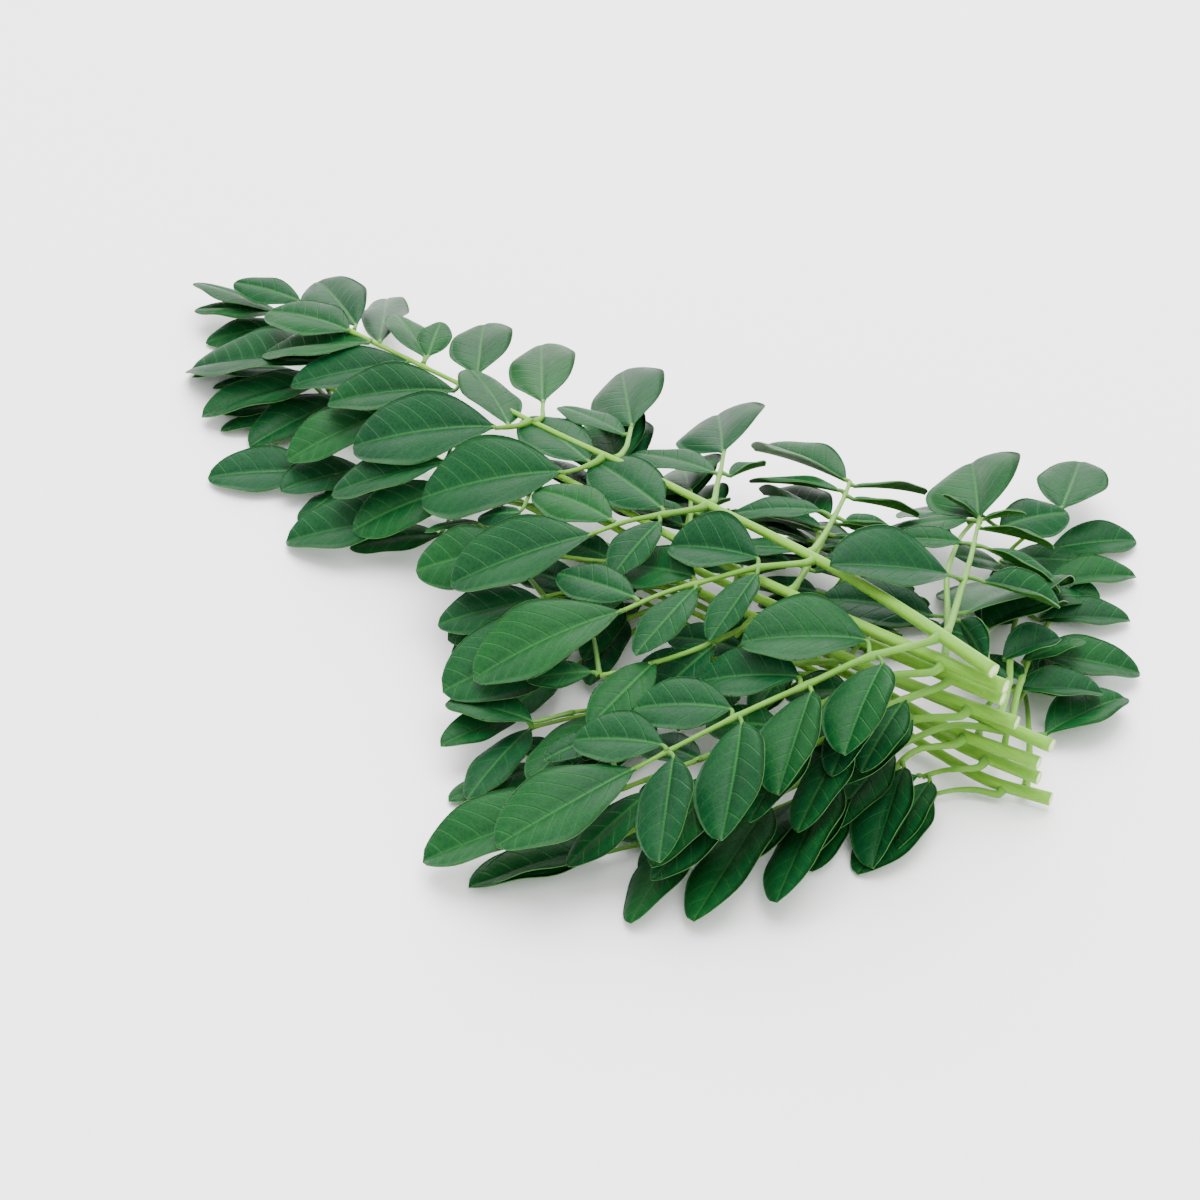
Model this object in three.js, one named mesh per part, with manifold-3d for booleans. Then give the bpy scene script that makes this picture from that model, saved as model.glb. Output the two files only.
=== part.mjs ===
// Moringa leaf bunch: eight cut compound leaves (fronds) lying on top of one
// another.  Millimetres, +Z up, resting on z = 0, stems pointing along +X.
//
// Every frond is a tapering stem with opposite pinnae.  The stem with the
// leaflets that sit straight on it is one solid; every pinna, a thin stalk with
// its opposite leaflets and one end leaflet, is another.
import * as THREE from 'three';
import { mergeVertices } from 'three/addons/utils/BufferGeometryUtils.js';
import Module from 'manifold-3d';

// ---- driving dimensions (mm) ------------------------------------------------
const LEAF_THICKNESS = 0.5;      // at the midrib; the blade thins to its edge
const PETIOLULE_RADIUS = 0.36;   // little stalk of a leaflet
const STEM_SIDES = 6;            // section of a main stem
const STALK_SIDES = 4;           // section of a pinna stalk
const CLEARANCE = 0.2;           // gap kept between separate pieces
const ARCH = 0.035;              // rise of a leaflet's midrib over its length
const STATIONS = [0.26, 0.74];  // blade sections, base to tip

// ---- layout -----------------------------------------------------------------
// path: centre line.  r: radius at its start and end.
// A leaflet is [attachment xyz, blade base xyz, blade tip xyz,
//   unit vector across one half blade, the same for the other half,
//   half width, 1 for an end leaflet].
const FRONDS = [
  { name: 'frond1',
    stem: { r: [1.38, 0.42], path: [[106.11,-6.61,29.76],[89.39,-4.98,30.06],[72.68,-3.32,29.72],[55.89,-2.77,29.01],[39.13,-2.25,27.8],[22.4,-1.55,26.49],[5.66,-1.59,25.07],[-10.96,-0.33,23.16],[-27.34,2.35,20.48],[-43.84,4.34,17.91],[-60.39,2.22,19.0]],
      leaflets: [
        [-28.63,2.56,20.27,-27.32,0.08,20.37,-47.83,-14.24,14.76,-0.584,0.639,0.501,0.533,-0.829,0.167,6.77,1],
        [-45.1,4.48,17.72,-44.55,3.74,17.82,-61.84,-11.95,11.69,-0.694,0.625,0.357,0.624,-0.759,0.184,6.28,1],
        [-55.01,3.23,18.73,-54.1,1.9,18.83,-77.0,-6.16,10.04,-0.373,0.919,0.13,0.268,-0.948,0.17,6.71,1],
        [-60.39,2.22,19.0,-59.85,1.76,19.19,-82.24,-0.6,15.26,-0.131,0.979,0.156,0.11,-0.993,-0.031,5.94,0],
        [-59.32,2.42,18.95,-60.71,4.32,19.13,-86.52,16.05,13.76,0.336,0.886,0.319,-0.384,-0.912,-0.144,6.63,0],
        [-25.61,2.07,20.77,-27.84,6.52,21.12,-44.03,23.12,18.26,-0.701,-0.704,-0.114,0.64,0.684,0.35,6.58,0],
        [-40.98,4.0,18.36,-42.42,6.03,18.87,-59.96,14.58,17.26,0.437,0.834,-0.337,-0.433,-0.815,0.385,5.09,0],
        [-40.98,4.0,18.36,-42.29,6.69,18.87,-49.07,16.32,19.66,-0.818,-0.571,-0.073,0.809,0.579,-0.101,3.42,0],
        [-52.85,3.64,18.63,-53.01,3.78,18.73,-86.33,34.09,2.51,-0.66,-0.75,-0.046,0.615,0.769,0.174,4.82,0],
      ] },
    pinnae: [
      { name: 'frond1_left_pinna_1', joined: false, r: [0.72, 0.36], path: [[93.88,-7.79,29.73],[88.22,-16.42,28.0],[84.29,-25.86,25.75],[80.39,-35.27,23.56],[76.94,-44.91,21.24],[73.07,-54.05,18.12]],
        leaflets: [
          [88.48,-15.9,28.12,85.19,-13.06,28.22,68.86,-24.95,25.26,-0.585,0.702,0.407,0.543,-0.805,0.238,8.57,0],
          [88.94,-14.99,28.33,91.45,-16.23,28.43,97.47,-31.9,22.26,-0.936,-0.27,-0.228,0.755,0.032,0.655,6.89,0],
          [83.73,-26.89,25.5,81.87,-25.4,25.6,64.23,-30.25,17.4,-0.428,0.778,0.46,0.234,-0.97,0.07,6.34,0],
          [84.23,-25.97,25.73,86.13,-27.09,25.83,94.37,-43.67,19.26,-0.899,-0.335,-0.282,0.668,0.037,0.744,6.85,0],
          [79.4,-38.25,22.86,77.57,-36.65,22.96,63.83,-44.65,19.76,-0.529,0.751,0.394,0.517,-0.85,-0.096,5.7,0],
          [79.79,-37.23,23.11,81.44,-38.28,23.21,93.44,-55.53,16.76,-0.82,-0.428,-0.38,0.68,0.21,0.703,6.8,0],
          [75.71,-49.04,20.21,73.88,-48.58,20.31,60.62,-55.06,17.26,-0.476,0.792,0.383,0.435,-0.9,0.023,5.67,0],
          [75.71,-49.04,20.21,77.29,-49.4,20.31,88.29,-63.85,14.26,-0.804,-0.449,-0.39,0.701,0.256,0.665,5.53,0],
          [73.07,-54.05,18.12,73.16,-54.14,18.22,65.96,-77.19,11.76,-0.944,0.228,0.237,0.896,-0.355,0.268,8.1,1],
        ] },
      { name: 'frond1_left_pinna_2', joined: false, r: [0.62, 0.36], path: [[65.03,-4.89,29.32],[58.99,-10.05,27.89],[53.73,-15.86,25.77],[49.17,-22.25,23.97],[46.38,-29.74,22.56]],
        leaflets: [
          [59.01,-10.04,27.9,57.03,-8.27,28.0,41.76,-13.42,25.26,-0.344,0.672,0.656,0.293,-0.945,0.143,6.99,0],
          [59.01,-10.04,27.9,60.16,-11.7,28.0,62.67,-25.64,22.76,-0.985,-0.168,-0.025,0.875,-0.024,0.484,4.19,0],
          [51.85,-17.82,24.9,50.48,-16.66,25.0,31.84,-15.97,17.59,-0.158,0.865,0.477,0.031,-0.985,-0.17,5.31,0],
          [51.85,-17.82,24.9,52.89,-18.72,25.0,54.44,-34.6,20.26,-0.992,-0.064,-0.109,0.965,0.015,0.264,4.33,0],
          [47.5,-26.77,23.31,45.82,-26.32,23.41,28.87,-27.62,20.26,-0.13,0.942,0.309,0.12,-0.961,-0.248,4.5,0],
          [46.38,-29.74,22.56,46.44,-30.28,22.66,34.2,-52.47,13.76,-0.875,0.346,0.339,0.836,-0.525,0.16,8.44,1],
        ] },
      { name: 'frond1_left_pinna_3', joined: false, r: [0.62, 0.36], path: [[39.72,-3.94,27.75],[35.32,-8.49,26.51],[31.06,-13.18,25.22],[28.04,-18.55,23.76]],
        leaflets: [
          [35.47,-8.32,26.56,33.98,-7.35,26.66,12.74,-2.82,24.26,0.174,0.952,0.251,-0.174,-0.952,-0.251,5.87,0],
          [34.81,-9.06,26.36,36.52,-10.47,26.46,37.73,-23.4,21.76,-0.99,-0.12,0.075,0.949,-0.025,0.314,4.33,0],
          [29.73,-14.38,24.86,28.58,-14.44,24.96,9.28,-14.2,21.76,-0.019,0.982,0.187,0.019,-0.982,-0.187,5.09,0],
          [28.04,-18.55,23.76,28.36,-18.87,23.86,12.51,-37.73,14.76,-0.785,0.46,0.415,0.736,-0.669,0.106,8.57,1],
        ] },
      { name: 'frond1_left_pinna_4', joined: false, r: [0.62, 0.36], path: [[14.21,-3.25,25.36],[13.41,-5.31,24.8],[12.25,-7.23,24.34],[10.92,-9.05,23.96]],
        leaflets: [
          [13.81,-4.64,24.96,12.62,-4.21,25.06,-8.81,0.93,22.26,0.227,0.973,0.049,-0.227,-0.973,-0.049,5.77,0],
          [10.92,-9.05,23.96,10.8,-8.93,24.06,-10.4,-23.82,15.26,-0.629,0.61,0.482,0.589,-0.806,-0.057,9.51,1],
        ] },
      { name: 'frond1_left_pinna_5', joined: true, r: [0.62, 0.36], path: [[-5.46,-1.23,24.06],[-5.96,-3.39,23.87],[-7.66,-4.92,23.42],[-9.54,-6.22,22.96]],
        leaflets: [
          [-7.53,-4.83,23.46,-8.15,-4.24,23.56,-28.59,5.18,22.26,0.411,0.845,-0.341,-0.411,-0.845,0.341,5.86,0],
          [-9.54,-6.22,22.96,-9.67,-6.09,23.06,-31.54,-21.96,15.96,-0.61,0.621,0.491,0.602,-0.795,-0.077,9.12,1],
        ] },
      { name: 'frond1_right_pinna_1', joined: false, r: [0.72, 0.36], path: [[94.19,-3.62,29.7],[89.64,4.14,27.65],[84.93,11.8,25.56],[80.29,19.52,23.57],[75.51,27.06,21.26],[70.61,34.37,18.49],[65.82,41.64,15.42]],
        leaflets: [
          [83.18,14.69,24.81,83.17,10.19,28.36,71.7,-6.8,32.96,-0.68,0.58,0.448,0.827,-0.479,0.293,7.99,0],
          [82.12,16.45,24.36,85.59,17.47,24.46,94.54,26.97,18.76,-0.49,0.739,0.463,0.74,-0.356,0.57,4.66,0],
          [73.96,29.37,20.41,76.69,30.2,20.55,89.48,34.34,15.76,-0.293,0.955,0.043,0.435,-0.428,0.792,3.71,0],
          [73.96,29.37,20.41,72.23,28.31,20.55,62.44,21.42,19.76,-0.552,0.74,0.384,0.542,-0.801,0.255,3.12,0],
          [65.82,41.64,15.42,64.23,40.46,15.65,58.01,27.51,16.76,-0.884,0.404,-0.233,0.874,-0.395,0.282,3.75,0],
          [67.96,38.39,16.79,68.62,38.52,16.99,80.19,44.83,15.26,-0.492,0.852,-0.181,0.345,-0.399,0.85,3.46,0],
          [65.82,41.64,15.42,65.02,42.61,15.65,57.39,41.59,17.26,-0.178,0.953,-0.245,0.242,-0.534,0.811,2.05,0],
          [65.82,41.64,15.42,65.93,42.61,15.65,71.33,47.96,16.76,-0.699,0.714,-0.041,0.245,-0.428,0.87,2.0,0],
          [65.82,41.64,15.42,65.22,42.36,15.65,51.08,58.18,13.56,-0.651,-0.637,-0.414,0.553,0.574,0.604,9.41,1],
        ] },
      { name: 'frond1_right_pinna_2', joined: false, r: [0.62, 0.36], path: [[63.31,-1.23,29.24],[59.93,5.91,27.68],[56.08,12.83,25.99],[52.16,19.7,24.28],[47.97,26.46,22.76]],
        leaflets: [
          [56.82,11.53,26.32,53.73,11.59,26.42,39.63,4.83,22.26,-0.448,0.892,0.069,0.36,-0.901,0.242,4.21,0],
          [50.72,22.03,23.76,49.19,21.72,23.86,31.89,17.82,19.26,-0.158,0.962,-0.222,0.027,-0.811,0.585,4.76,0],
          [47.97,26.46,22.76,47.01,26.2,22.86,22.81,29.2,16.76,0.069,0.975,0.209,-0.258,-0.68,0.687,6.54,0],
          [56.33,12.4,26.1,58.6,12.58,26.2,62.56,21.36,21.76,-0.848,0.488,0.208,0.807,-0.067,0.586,2.76,0],
          [51.27,21.15,23.96,53.12,21.2,24.06,59.41,32.03,18.26,-0.889,0.418,-0.185,0.751,-0.085,0.655,3.59,0],
          [48.52,25.57,22.96,49.6,25.63,23.06,54.43,40.15,16.76,-0.938,0.184,-0.295,0.778,0.013,0.628,4.3,1],
        ] },
      { name: 'frond1_right_pinna_3', joined: false, r: [0.62, 0.36], path: [[40.03,-0.67,27.73],[35.46,5.04,26.34],[31.03,10.89,25.03],[26.44,16.62,23.76]],
        leaflets: [
          [32.8,8.51,25.56,31.81,8.19,25.66,13.16,6.75,21.76,-0.066,0.997,-0.051,0.032,-0.978,0.207,4.97,0],
          [32.13,9.41,25.36,34.26,9.71,25.46,34.05,19.26,23.26,-0.999,-0.011,0.051,0.548,0.2,0.813,2.55,0],
          [26.44,16.62,23.76,26.42,16.38,23.86,11.82,30.87,18.76,-0.588,-0.721,-0.367,0.524,0.699,0.486,8.71,1],
        ] },
      { name: 'frond1_right_pinna_4', joined: false, r: [0.62, 0.36], path: [[16.51,-0.2,25.87],[14.45,3.63,25.24],[11.71,7.08,24.54],[8.95,10.5,23.76]],
        leaflets: [
          [11.07,7.87,24.36,10.47,7.13,24.46,-6.45,7.4,22.82,0.04,0.968,-0.249,-0.044,-0.955,0.292,4.42,0],
          [8.95,10.5,23.76,8.71,11.0,23.86,-12.31,29.73,18.26,-0.487,-0.702,-0.519,0.552,0.737,0.391,8.12,1],
        ] },
      { name: 'frond1_right_pinna_5', joined: true, r: [0.62, 0.36], path: [[-4.42,-1.26,24.16],[-4.81,1.25,24.08],[-6.87,3.34,23.67],[-8.93,5.42,23.26]],
        leaflets: [
          [-8.93,5.42,23.26,-9.31,5.8,23.36,-31.03,26.45,17.76,-0.635,-0.734,-0.242,0.635,0.734,0.242,6.87,1],
        ] },
    ] },
  { name: 'frond2',
    stem: { r: [1.38, 0.42], path: [[107.34,-4.64,26.16],[86.16,-7.73,26.12],[64.8,-9.33,25.41],[43.44,-9.82,24.17],[22.12,-8.1,22.57],[0.74,-7.19,20.86],[-20.59,-6.46,18.75],[-41.67,-5.06,15.37],[-62.57,-1.31,12.28]],
      leaflets: [
        [-62.57,-1.31,12.28,-62.44,-1.41,12.38,-95.21,-11.76,0.66,-0.392,0.854,0.342,0.209,-0.945,0.249,9.44,1],
        [3.85,-7.38,21.12,11.63,-20.14,21.22,3.44,-22.76,17.26,-0.369,0.916,0.156,0.427,-0.845,-0.322,2.46,0],
        [-62.57,-1.31,12.28,-85.06,9.9,12.38,-99.83,4.65,12.76,-0.325,0.929,0.175,0.319,-0.915,-0.247,4.08,0],
        [-19.69,-6.44,18.87,-12.22,-16.34,18.97,-29.06,-29.63,10.26,-0.681,0.671,0.294,0.578,-0.808,0.115,6.02,1],
      ] },
    pinnae: [
      { name: 'frond2_left_pinna_1', joined: false, r: [0.72, 0.36], path: [[96.07,-8.91,25.4],[89.0,-15.21,23.62],[85.24,-24.59,21.01],[81.8,-34.16,18.67],[77.41,-43.39,16.52],[72.49,-52.23,13.96],[67.69,-61.18,11.56]],
        leaflets: [
          [82.85,-31.24,19.38,83.34,-31.21,19.48,70.88,-35.08,15.26,-0.395,0.82,0.414,0.369,-0.887,-0.276,3.7,0],
          [77.51,-43.18,16.57,77.69,-43.77,16.67,63.74,-43.55,12.26,-0.044,0.981,0.188,-0.009,-1.0,-0.02,3.81,0],
          [87.16,-19.66,22.34,87.66,-19.39,22.44,77.26,-22.94,18.26,-0.443,0.783,0.436,0.351,-0.933,-0.08,3.72,0],
          [88.28,-16.96,23.12,90.55,-17.91,23.22,95.61,-32.48,17.26,-0.933,-0.202,-0.298,0.904,0.15,0.399,4.3,0],
          [84.63,-26.3,20.59,86.73,-27.43,20.69,90.92,-46.28,13.26,-0.908,-0.037,-0.417,0.862,-0.008,0.506,5.38,0],
          [79.65,-38.69,17.61,82.81,-41.15,17.71,84.32,-61.44,9.26,-0.951,0.056,-0.304,0.927,-0.083,0.365,5.73,0],
          [73.21,-50.98,14.34,75.74,-53.13,14.44,72.88,-68.55,6.76,-0.965,0.235,-0.114,0.954,-0.254,0.156,4.54,0],
          [67.69,-61.18,11.56,67.79,-61.95,11.66,53.12,-81.51,3.36,-0.818,0.475,0.325,0.68,-0.652,0.335,8.03,0],
          [71.23,-54.5,13.31,59.09,-47.65,13.41,56.35,-57.47,12.26,-0.942,0.235,0.238,0.961,-0.273,0.043,2.67,1],
        ] },
      { name: 'frond2_left_pinna_2', joined: false, r: [0.62, 0.36], path: [[66.22,-10.93,24.62],[63.76,-18.63,22.37],[60.32,-25.98,20.13],[55.97,-32.95,18.3],[51.04,-39.6,16.76]],
        leaflets: [
          [56.25,-32.53,18.41,56.39,-32.09,18.51,57.22,-48.08,14.26,-0.993,-0.076,0.092,0.99,0.013,0.143,4.53,0],
          [61.43,-23.71,20.82,62.37,-24.05,20.92,56.38,-35.52,9.25,-0.939,0.228,0.258,0.915,-0.394,-0.082,4.58,0],
          [51.04,-39.6,16.76,49.43,-39.86,16.86,41.87,-47.55,15.26,-0.711,0.636,0.301,0.72,-0.682,-0.127,2.83,0],
          [51.04,-39.6,16.76,40.52,-31.47,16.86,28.57,-54.52,9.26,-0.876,0.343,0.338,0.885,-0.466,0.02,8.92,1],
        ] },
      { name: 'frond2_left_pinna_3', joined: false, r: [0.62, 0.36], path: [[39.31,-8.82,22.37],[34.33,-10.89,18.13],[28.89,-14.92,16.55],[23.33,-19.3,16.77],[17.72,-23.63,17.36]],
        leaflets: [
          [32.88,-11.56,17.18,33.4,-12.1,17.28,36.89,-27.86,14.76,-0.966,-0.184,-0.184,0.943,0.161,0.292,4.25,0],
          [29.05,-14.78,16.57,28.91,-14.5,16.67,17.66,-16.23,16.26,-0.155,0.925,0.347,0.156,-0.974,-0.163,3.24,0],
          [17.72,-23.63,17.36,15.7,-24.12,17.46,1.85,-36.47,11.76,-0.691,0.57,0.445,0.701,-0.642,-0.312,6.28,1],
        ] },
      { name: 'frond2_right_pinna_1', joined: false, r: [0.72, 0.36], path: [[95.13,-4.97,25.92],[89.09,3.37,23.1],[82.69,11.49,20.6],[75.96,19.71,19.93],[70.48,28.55,17.63],[65.43,37.43,14.46],[61.85,47.27,12.3]],
        leaflets: [
          [84.63,9.24,20.92,82.75,7.59,21.02,66.79,-2.38,21.26,-0.479,0.776,0.412,0.53,-0.848,0.012,5.8,0],
          [85.81,7.68,21.5,87.31,9.05,21.6,98.31,2.1,22.26,0.038,-0.035,-0.999,0.206,0.411,0.888,3.39,0],
          [84.03,10.02,20.63,86.01,12.61,20.73,75.38,50.69,0.66,-0.921,-0.349,-0.174,0.764,0.455,0.458,11.53,0],
          [61.85,47.27,12.3,67.19,46.32,12.5,70.65,62.28,9.76,-0.934,0.247,0.258,0.883,-0.258,-0.391,4.6,0],
          [63.64,42.34,13.38,61.85,42.8,13.58,43.31,49.16,3.15,0.336,0.942,-0.024,-0.364,-0.928,0.083,5.77,0],
          [67.88,33.13,16.0,66.76,33.06,16.16,50.3,35.37,9.61,0.109,0.991,0.076,-0.2,-0.966,0.163,4.64,1],
        ] },
      { name: 'frond2_right_pinna_2', joined: false, r: [0.62, 0.34], path: [[64.72,-7.54,25.29],[61.86,-1.1,24.24],[58.66,5.17,23.11],[55.38,11.41,21.97],[51.87,17.55,20.95]],
        leaflets: [
          [58.77,4.95,23.15,56.63,3.96,23.25,45.07,-1.46,20.85,-0.441,0.895,0.069,0.352,-0.905,0.24,3.44,0],
          [53.98,13.85,21.56,52.89,13.17,21.66,38.57,11.05,18.81,-0.084,0.972,-0.221,-0.035,-0.812,0.582,3.89,0],
          [51.87,17.55,20.95,51.08,17.24,21.05,30.81,22.94,13.71,0.215,0.955,0.205,-0.359,-0.634,0.685,5.65,0],
          [59.23,4.07,23.31,61.02,4.69,23.41,65.33,11.82,21.02,-0.784,0.586,0.206,0.798,-0.165,0.579,2.39,0],
          [55.04,12.0,21.87,56.39,12.58,21.97,62.65,20.98,18.38,-0.836,0.517,-0.182,0.741,-0.173,0.649,3.01,0],
          [52.4,16.62,21.1,53.38,16.65,21.2,56.6,29.76,12.02,-0.95,0.108,-0.293,0.779,0.076,0.623,3.8,1],
        ] },
      { name: 'frond2_right_pinna_3', joined: false, r: [0.62, 0.34], path: [[41.76,-8.13,23.97],[37.23,-3.57,23.05],[32.87,1.18,22.18],[28.37,5.8,21.34]],
        leaflets: [
          [34.39,-0.51,22.48,33.91,-1.26,22.58,18.76,-5.16,19.29,-0.238,0.97,-0.053,0.201,-0.957,0.207,4.16,0],
          [34.39,-0.51,22.48,35.94,0.29,22.58,35.65,8.35,21.69,-0.999,-0.026,0.042,0.551,0.212,0.807,2.16,0],
          [28.37,5.8,21.34,28.47,5.5,21.44,15.47,17.94,14.76,-0.574,-0.732,-0.367,0.51,0.709,0.486,7.56,1],
        ] },
      { name: 'frond2_right_pinna_4', joined: true, r: [0.62, 0.34], path: [[18.28,-7.98,22.28],[17.06,-3.64,21.48],[14.26,0.09,20.09],[11.54,3.63,18.15]],
        leaflets: [
          [13.46,1.12,19.53,12.99,0.34,19.68,-2.63,4.21,18.41,0.278,0.918,-0.283,-0.282,-0.905,0.319,4.25,0],
          [11.54,3.63,18.15,11.43,4.0,18.33,-7.82,20.56,16.49,-0.474,-0.711,-0.519,0.538,0.747,0.391,7.28,1],
        ] },
    ] },
  { name: 'frond3',
    stem: { r: [1.3, 0.42], path: [[106.13,-3.35,22.36],[84.82,-6.56,22.28],[63.46,-9.05,21.38],[42.06,-8.78,19.03],[20.53,-8.93,18.34],[-0.93,-8.25,17.0],[-22.34,-7.65,15.23],[-43.46,-6.12,11.76],[-63.46,-1.03,5.76]],
      leaflets: [
        [-63.46,-1.03,5.76,-64.94,1.55,5.86,-78.01,-22.18,1.9,-0.866,0.437,0.242,0.78,-0.494,0.384,7.12,1],
        [-63.46,-1.03,5.76,-93.32,9.63,6.52,-113.98,5.04,6.93,-0.202,0.871,-0.448,0.21,-0.917,0.34,5.5,0],
        [-63.46,-1.03,5.76,-91.95,9.83,6.52,-108.89,0.73,4.26,-0.454,0.88,-0.14,0.438,-0.87,0.225,5.03,0],
        [-39.35,-6.63,12.59,-40.07,-5.94,12.72,-47.71,-24.93,6.76,-0.887,0.231,0.4,0.911,-0.4,0.106,6.59,0],
      ] },
    pinnae: [
      { name: 'frond3_left_pinna_1', joined: false, r: [0.72, 0.36], path: [[96.54,-6.74,21.72],[91.87,-15.05,19.34],[88.54,-24.12,16.86],[85.15,-33.19,14.51],[81.21,-41.96,12.01],[76.38,-49.89,8.38],[71.36,-57.2,3.84]],
        leaflets: [
          [79.2,-45.28,10.52,79.61,-45.61,10.62,69.14,-48.57,8.26,-0.327,0.875,0.356,0.307,-0.931,-0.196,3.32,0],
          [93.01,-12.24,20.16,93.56,-12.5,20.26,97.02,-26.76,15.56,-0.955,-0.148,-0.256,0.925,0.104,0.366,4.01,0],
          [89.15,-22.38,17.32,91.49,-23.41,17.42,96.71,-41.4,11.76,-0.895,-0.124,-0.429,0.862,0.093,0.498,5.09,0],
          [81.71,-41.13,12.38,85.02,-43.33,12.48,84.5,-61.58,6.76,-0.953,0.115,-0.279,0.953,-0.115,0.279,4.98,0],
          [71.36,-57.2,3.84,72.59,-58.89,3.94,61.28,-77.47,0.66,-0.856,0.496,0.145,0.642,-0.494,0.587,5.72,0],
          [86.88,-28.84,15.6,83.93,-26.85,15.7,78.28,-34.47,14.76,-0.774,0.531,0.346,0.805,-0.592,-0.043,3.34,1],
        ] },
      { name: 'frond3_left_pinna_2', joined: false, r: [0.62, 0.36], path: [[64.92,-10.62,20.89],[62.83,-18.46,17.46],[58.26,-23.17,11.93],[53.06,-28.45,7.73],[49.36,-35.61,7.18],[49.35,-43.78,10.58]],
        leaflets: [
          [55.68,-25.12,8.85,55.77,-25.22,8.95,49.65,-35.84,11.42,-0.75,0.525,0.401,0.81,-0.526,-0.258,3.87,0],
          [62.27,-20.13,16.7,62.6,-20.0,16.8,66.55,-34.23,12.76,-0.962,-0.223,-0.156,0.942,0.181,0.284,3.98,0],
          [62.9,-18.23,17.56,63.59,-18.65,17.66,50.8,-23.11,15.76,-0.354,0.846,0.397,0.338,-0.939,-0.068,3.86,0],
          [49.36,-37.98,8.16,50.45,-38.54,8.26,56.05,-60.15,9.26,-0.931,-0.253,-0.264,0.909,0.251,0.333,5.81,0],
          [51.26,-30.74,6.96,51.61,-30.61,7.06,55.42,-47.48,5.94,-0.962,-0.205,-0.18,0.94,0.194,0.281,4.51,0],
          [49.35,-43.78,10.58,46.43,-50.65,10.68,29.99,-54.95,8.15,-0.271,0.952,0.144,0.214,-0.95,0.227,4.47,1],
        ] },
      { name: 'frond3_left_pinna_3', joined: false, r: [0.62, 0.36], path: [[38.5,-9.63,17.46],[32.85,-14.23,14.55],[28.6,-20.7,13.72],[26.16,-28.19,14.28]],
        leaflets: [
          [34.96,-12.68,15.37,35.19,-12.65,15.47,14.85,-3.41,7.47,0.472,0.857,-0.209,-0.49,-0.819,0.298,6.17,0],
          [30.59,-16.98,13.94,31.41,-17.0,14.04,33.42,-30.48,11.76,-0.983,-0.162,0.09,0.989,0.148,-0.001,3.59,0],
          [28.17,-21.51,13.67,28.46,-21.94,13.77,14.02,-23.87,11.76,-0.166,0.942,0.292,0.151,-0.977,-0.15,3.82,0],
          [26.16,-28.19,14.28,26.28,-29.51,14.38,13.43,-41.89,8.76,-0.718,0.554,0.422,0.704,-0.709,-0.047,5.19,0],
          [26.16,-28.19,14.28,1.49,-20.56,14.38,-4.94,-28.14,12.76,-0.714,0.657,-0.241,0.666,-0.645,0.375,2.62,1],
        ] },
      { name: 'frond3_left_pinna_4', joined: false, r: [0.62, 0.36], path: [[10.2,-9.32,16.63],[4.95,-12.58,15.94],[-1.03,-13.97,15.02],[-7.14,-15.01,14.16]],
        leaflets: [
          [-7.14,-15.01,14.16,-9.45,-16.6,14.26,-20.59,-32.05,7.26,-0.815,0.395,0.425,0.836,-0.501,-0.225,5.47,1],
        ] },
      { name: 'frond3_right_pinna_1', joined: false, r: [0.72, 0.36], path: [[102.18,-2.38,21.24],[93.43,8.71,18.14],[85.24,19.53,12.52],[77.2,30.6,7.2],[69.43,42.11,2.4],[63.25,55.01,0.63],[68.08,63.38,8.89]],
        leaflets: [
          [88.95,14.63,15.07,88.99,14.39,15.28,82.86,9.14,17.76,-0.485,0.766,0.421,0.608,-0.78,-0.147,2.71,0],
          [74.64,34.39,5.62,74.96,33.38,6.2,62.25,36.68,0.66,0.158,0.965,0.212,-0.254,-0.967,0.007,3.71,0],
          [64.74,51.13,0.63,64.71,51.03,0.73,62.99,39.24,7.76,-0.912,0.3,0.28,0.967,-0.218,-0.129,3.6,0],
          [83.93,21.26,11.63,84.24,21.31,11.89,82.73,45.01,3.99,-0.997,-0.046,0.054,0.795,0.237,0.558,6.51,0],
          [64.37,52.09,0.63,64.11,51.78,0.73,76.06,62.97,0.66,-0.675,0.722,0.154,0.683,-0.73,-0.04,4.26,0],
          [68.08,63.38,8.89,68.23,63.78,8.99,59.22,81.51,6.76,-0.889,-0.456,-0.033,0.877,0.462,0.13,6.57,0],
          [72.49,37.58,4.29,75.33,38.23,4.78,82.81,54.61,0.66,-0.914,0.386,-0.125,0.909,-0.364,0.204,4.8,1],
        ] },
      { name: 'frond3_right_pinna_2', joined: false, r: [0.62, 0.34], path: [[63.38,-7.33,21.39],[60.01,-0.87,20.34],[56.36,5.42,19.13],[52.65,11.67,17.86],[48.71,17.78,16.61]],
        leaflets: [
          [56.53,5.14,19.19,54.37,4.01,19.29,40.9,-1.79,16.91,-0.412,0.909,0.069,0.323,-0.915,0.24,3.95,0],
          [51.1,14.07,17.37,50.01,13.31,17.47,34.09,10.58,14.54,-0.107,0.969,-0.221,-0.017,-0.813,0.582,4.34,0],
          [48.71,17.78,16.61,47.92,17.41,16.71,25.21,17.89,7.0,-0.031,0.978,0.205,-0.188,-0.704,0.685,6.09,0],
          [57.05,4.26,19.37,58.86,5.0,19.47,61.12,12.91,16.24,-0.91,0.36,0.206,0.814,0.05,0.579,2.36,0],
          [52.3,12.22,17.75,53.65,12.89,17.85,58.18,22.61,14.03,-0.924,0.337,-0.182,0.76,-0.019,0.649,3.08,0],
          [49.31,16.85,16.8,50.32,16.93,16.9,55.92,29.92,10.64,-0.919,0.263,-0.293,0.78,-0.054,0.623,3.98,1],
        ] },
      { name: 'frond3_right_pinna_3', joined: false, r: [0.62, 0.34], path: [[40.07,-8.97,20.29],[35.69,-3.33,19.18],[31.27,2.32,18.21],[26.71,7.85,17.28]],
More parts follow.
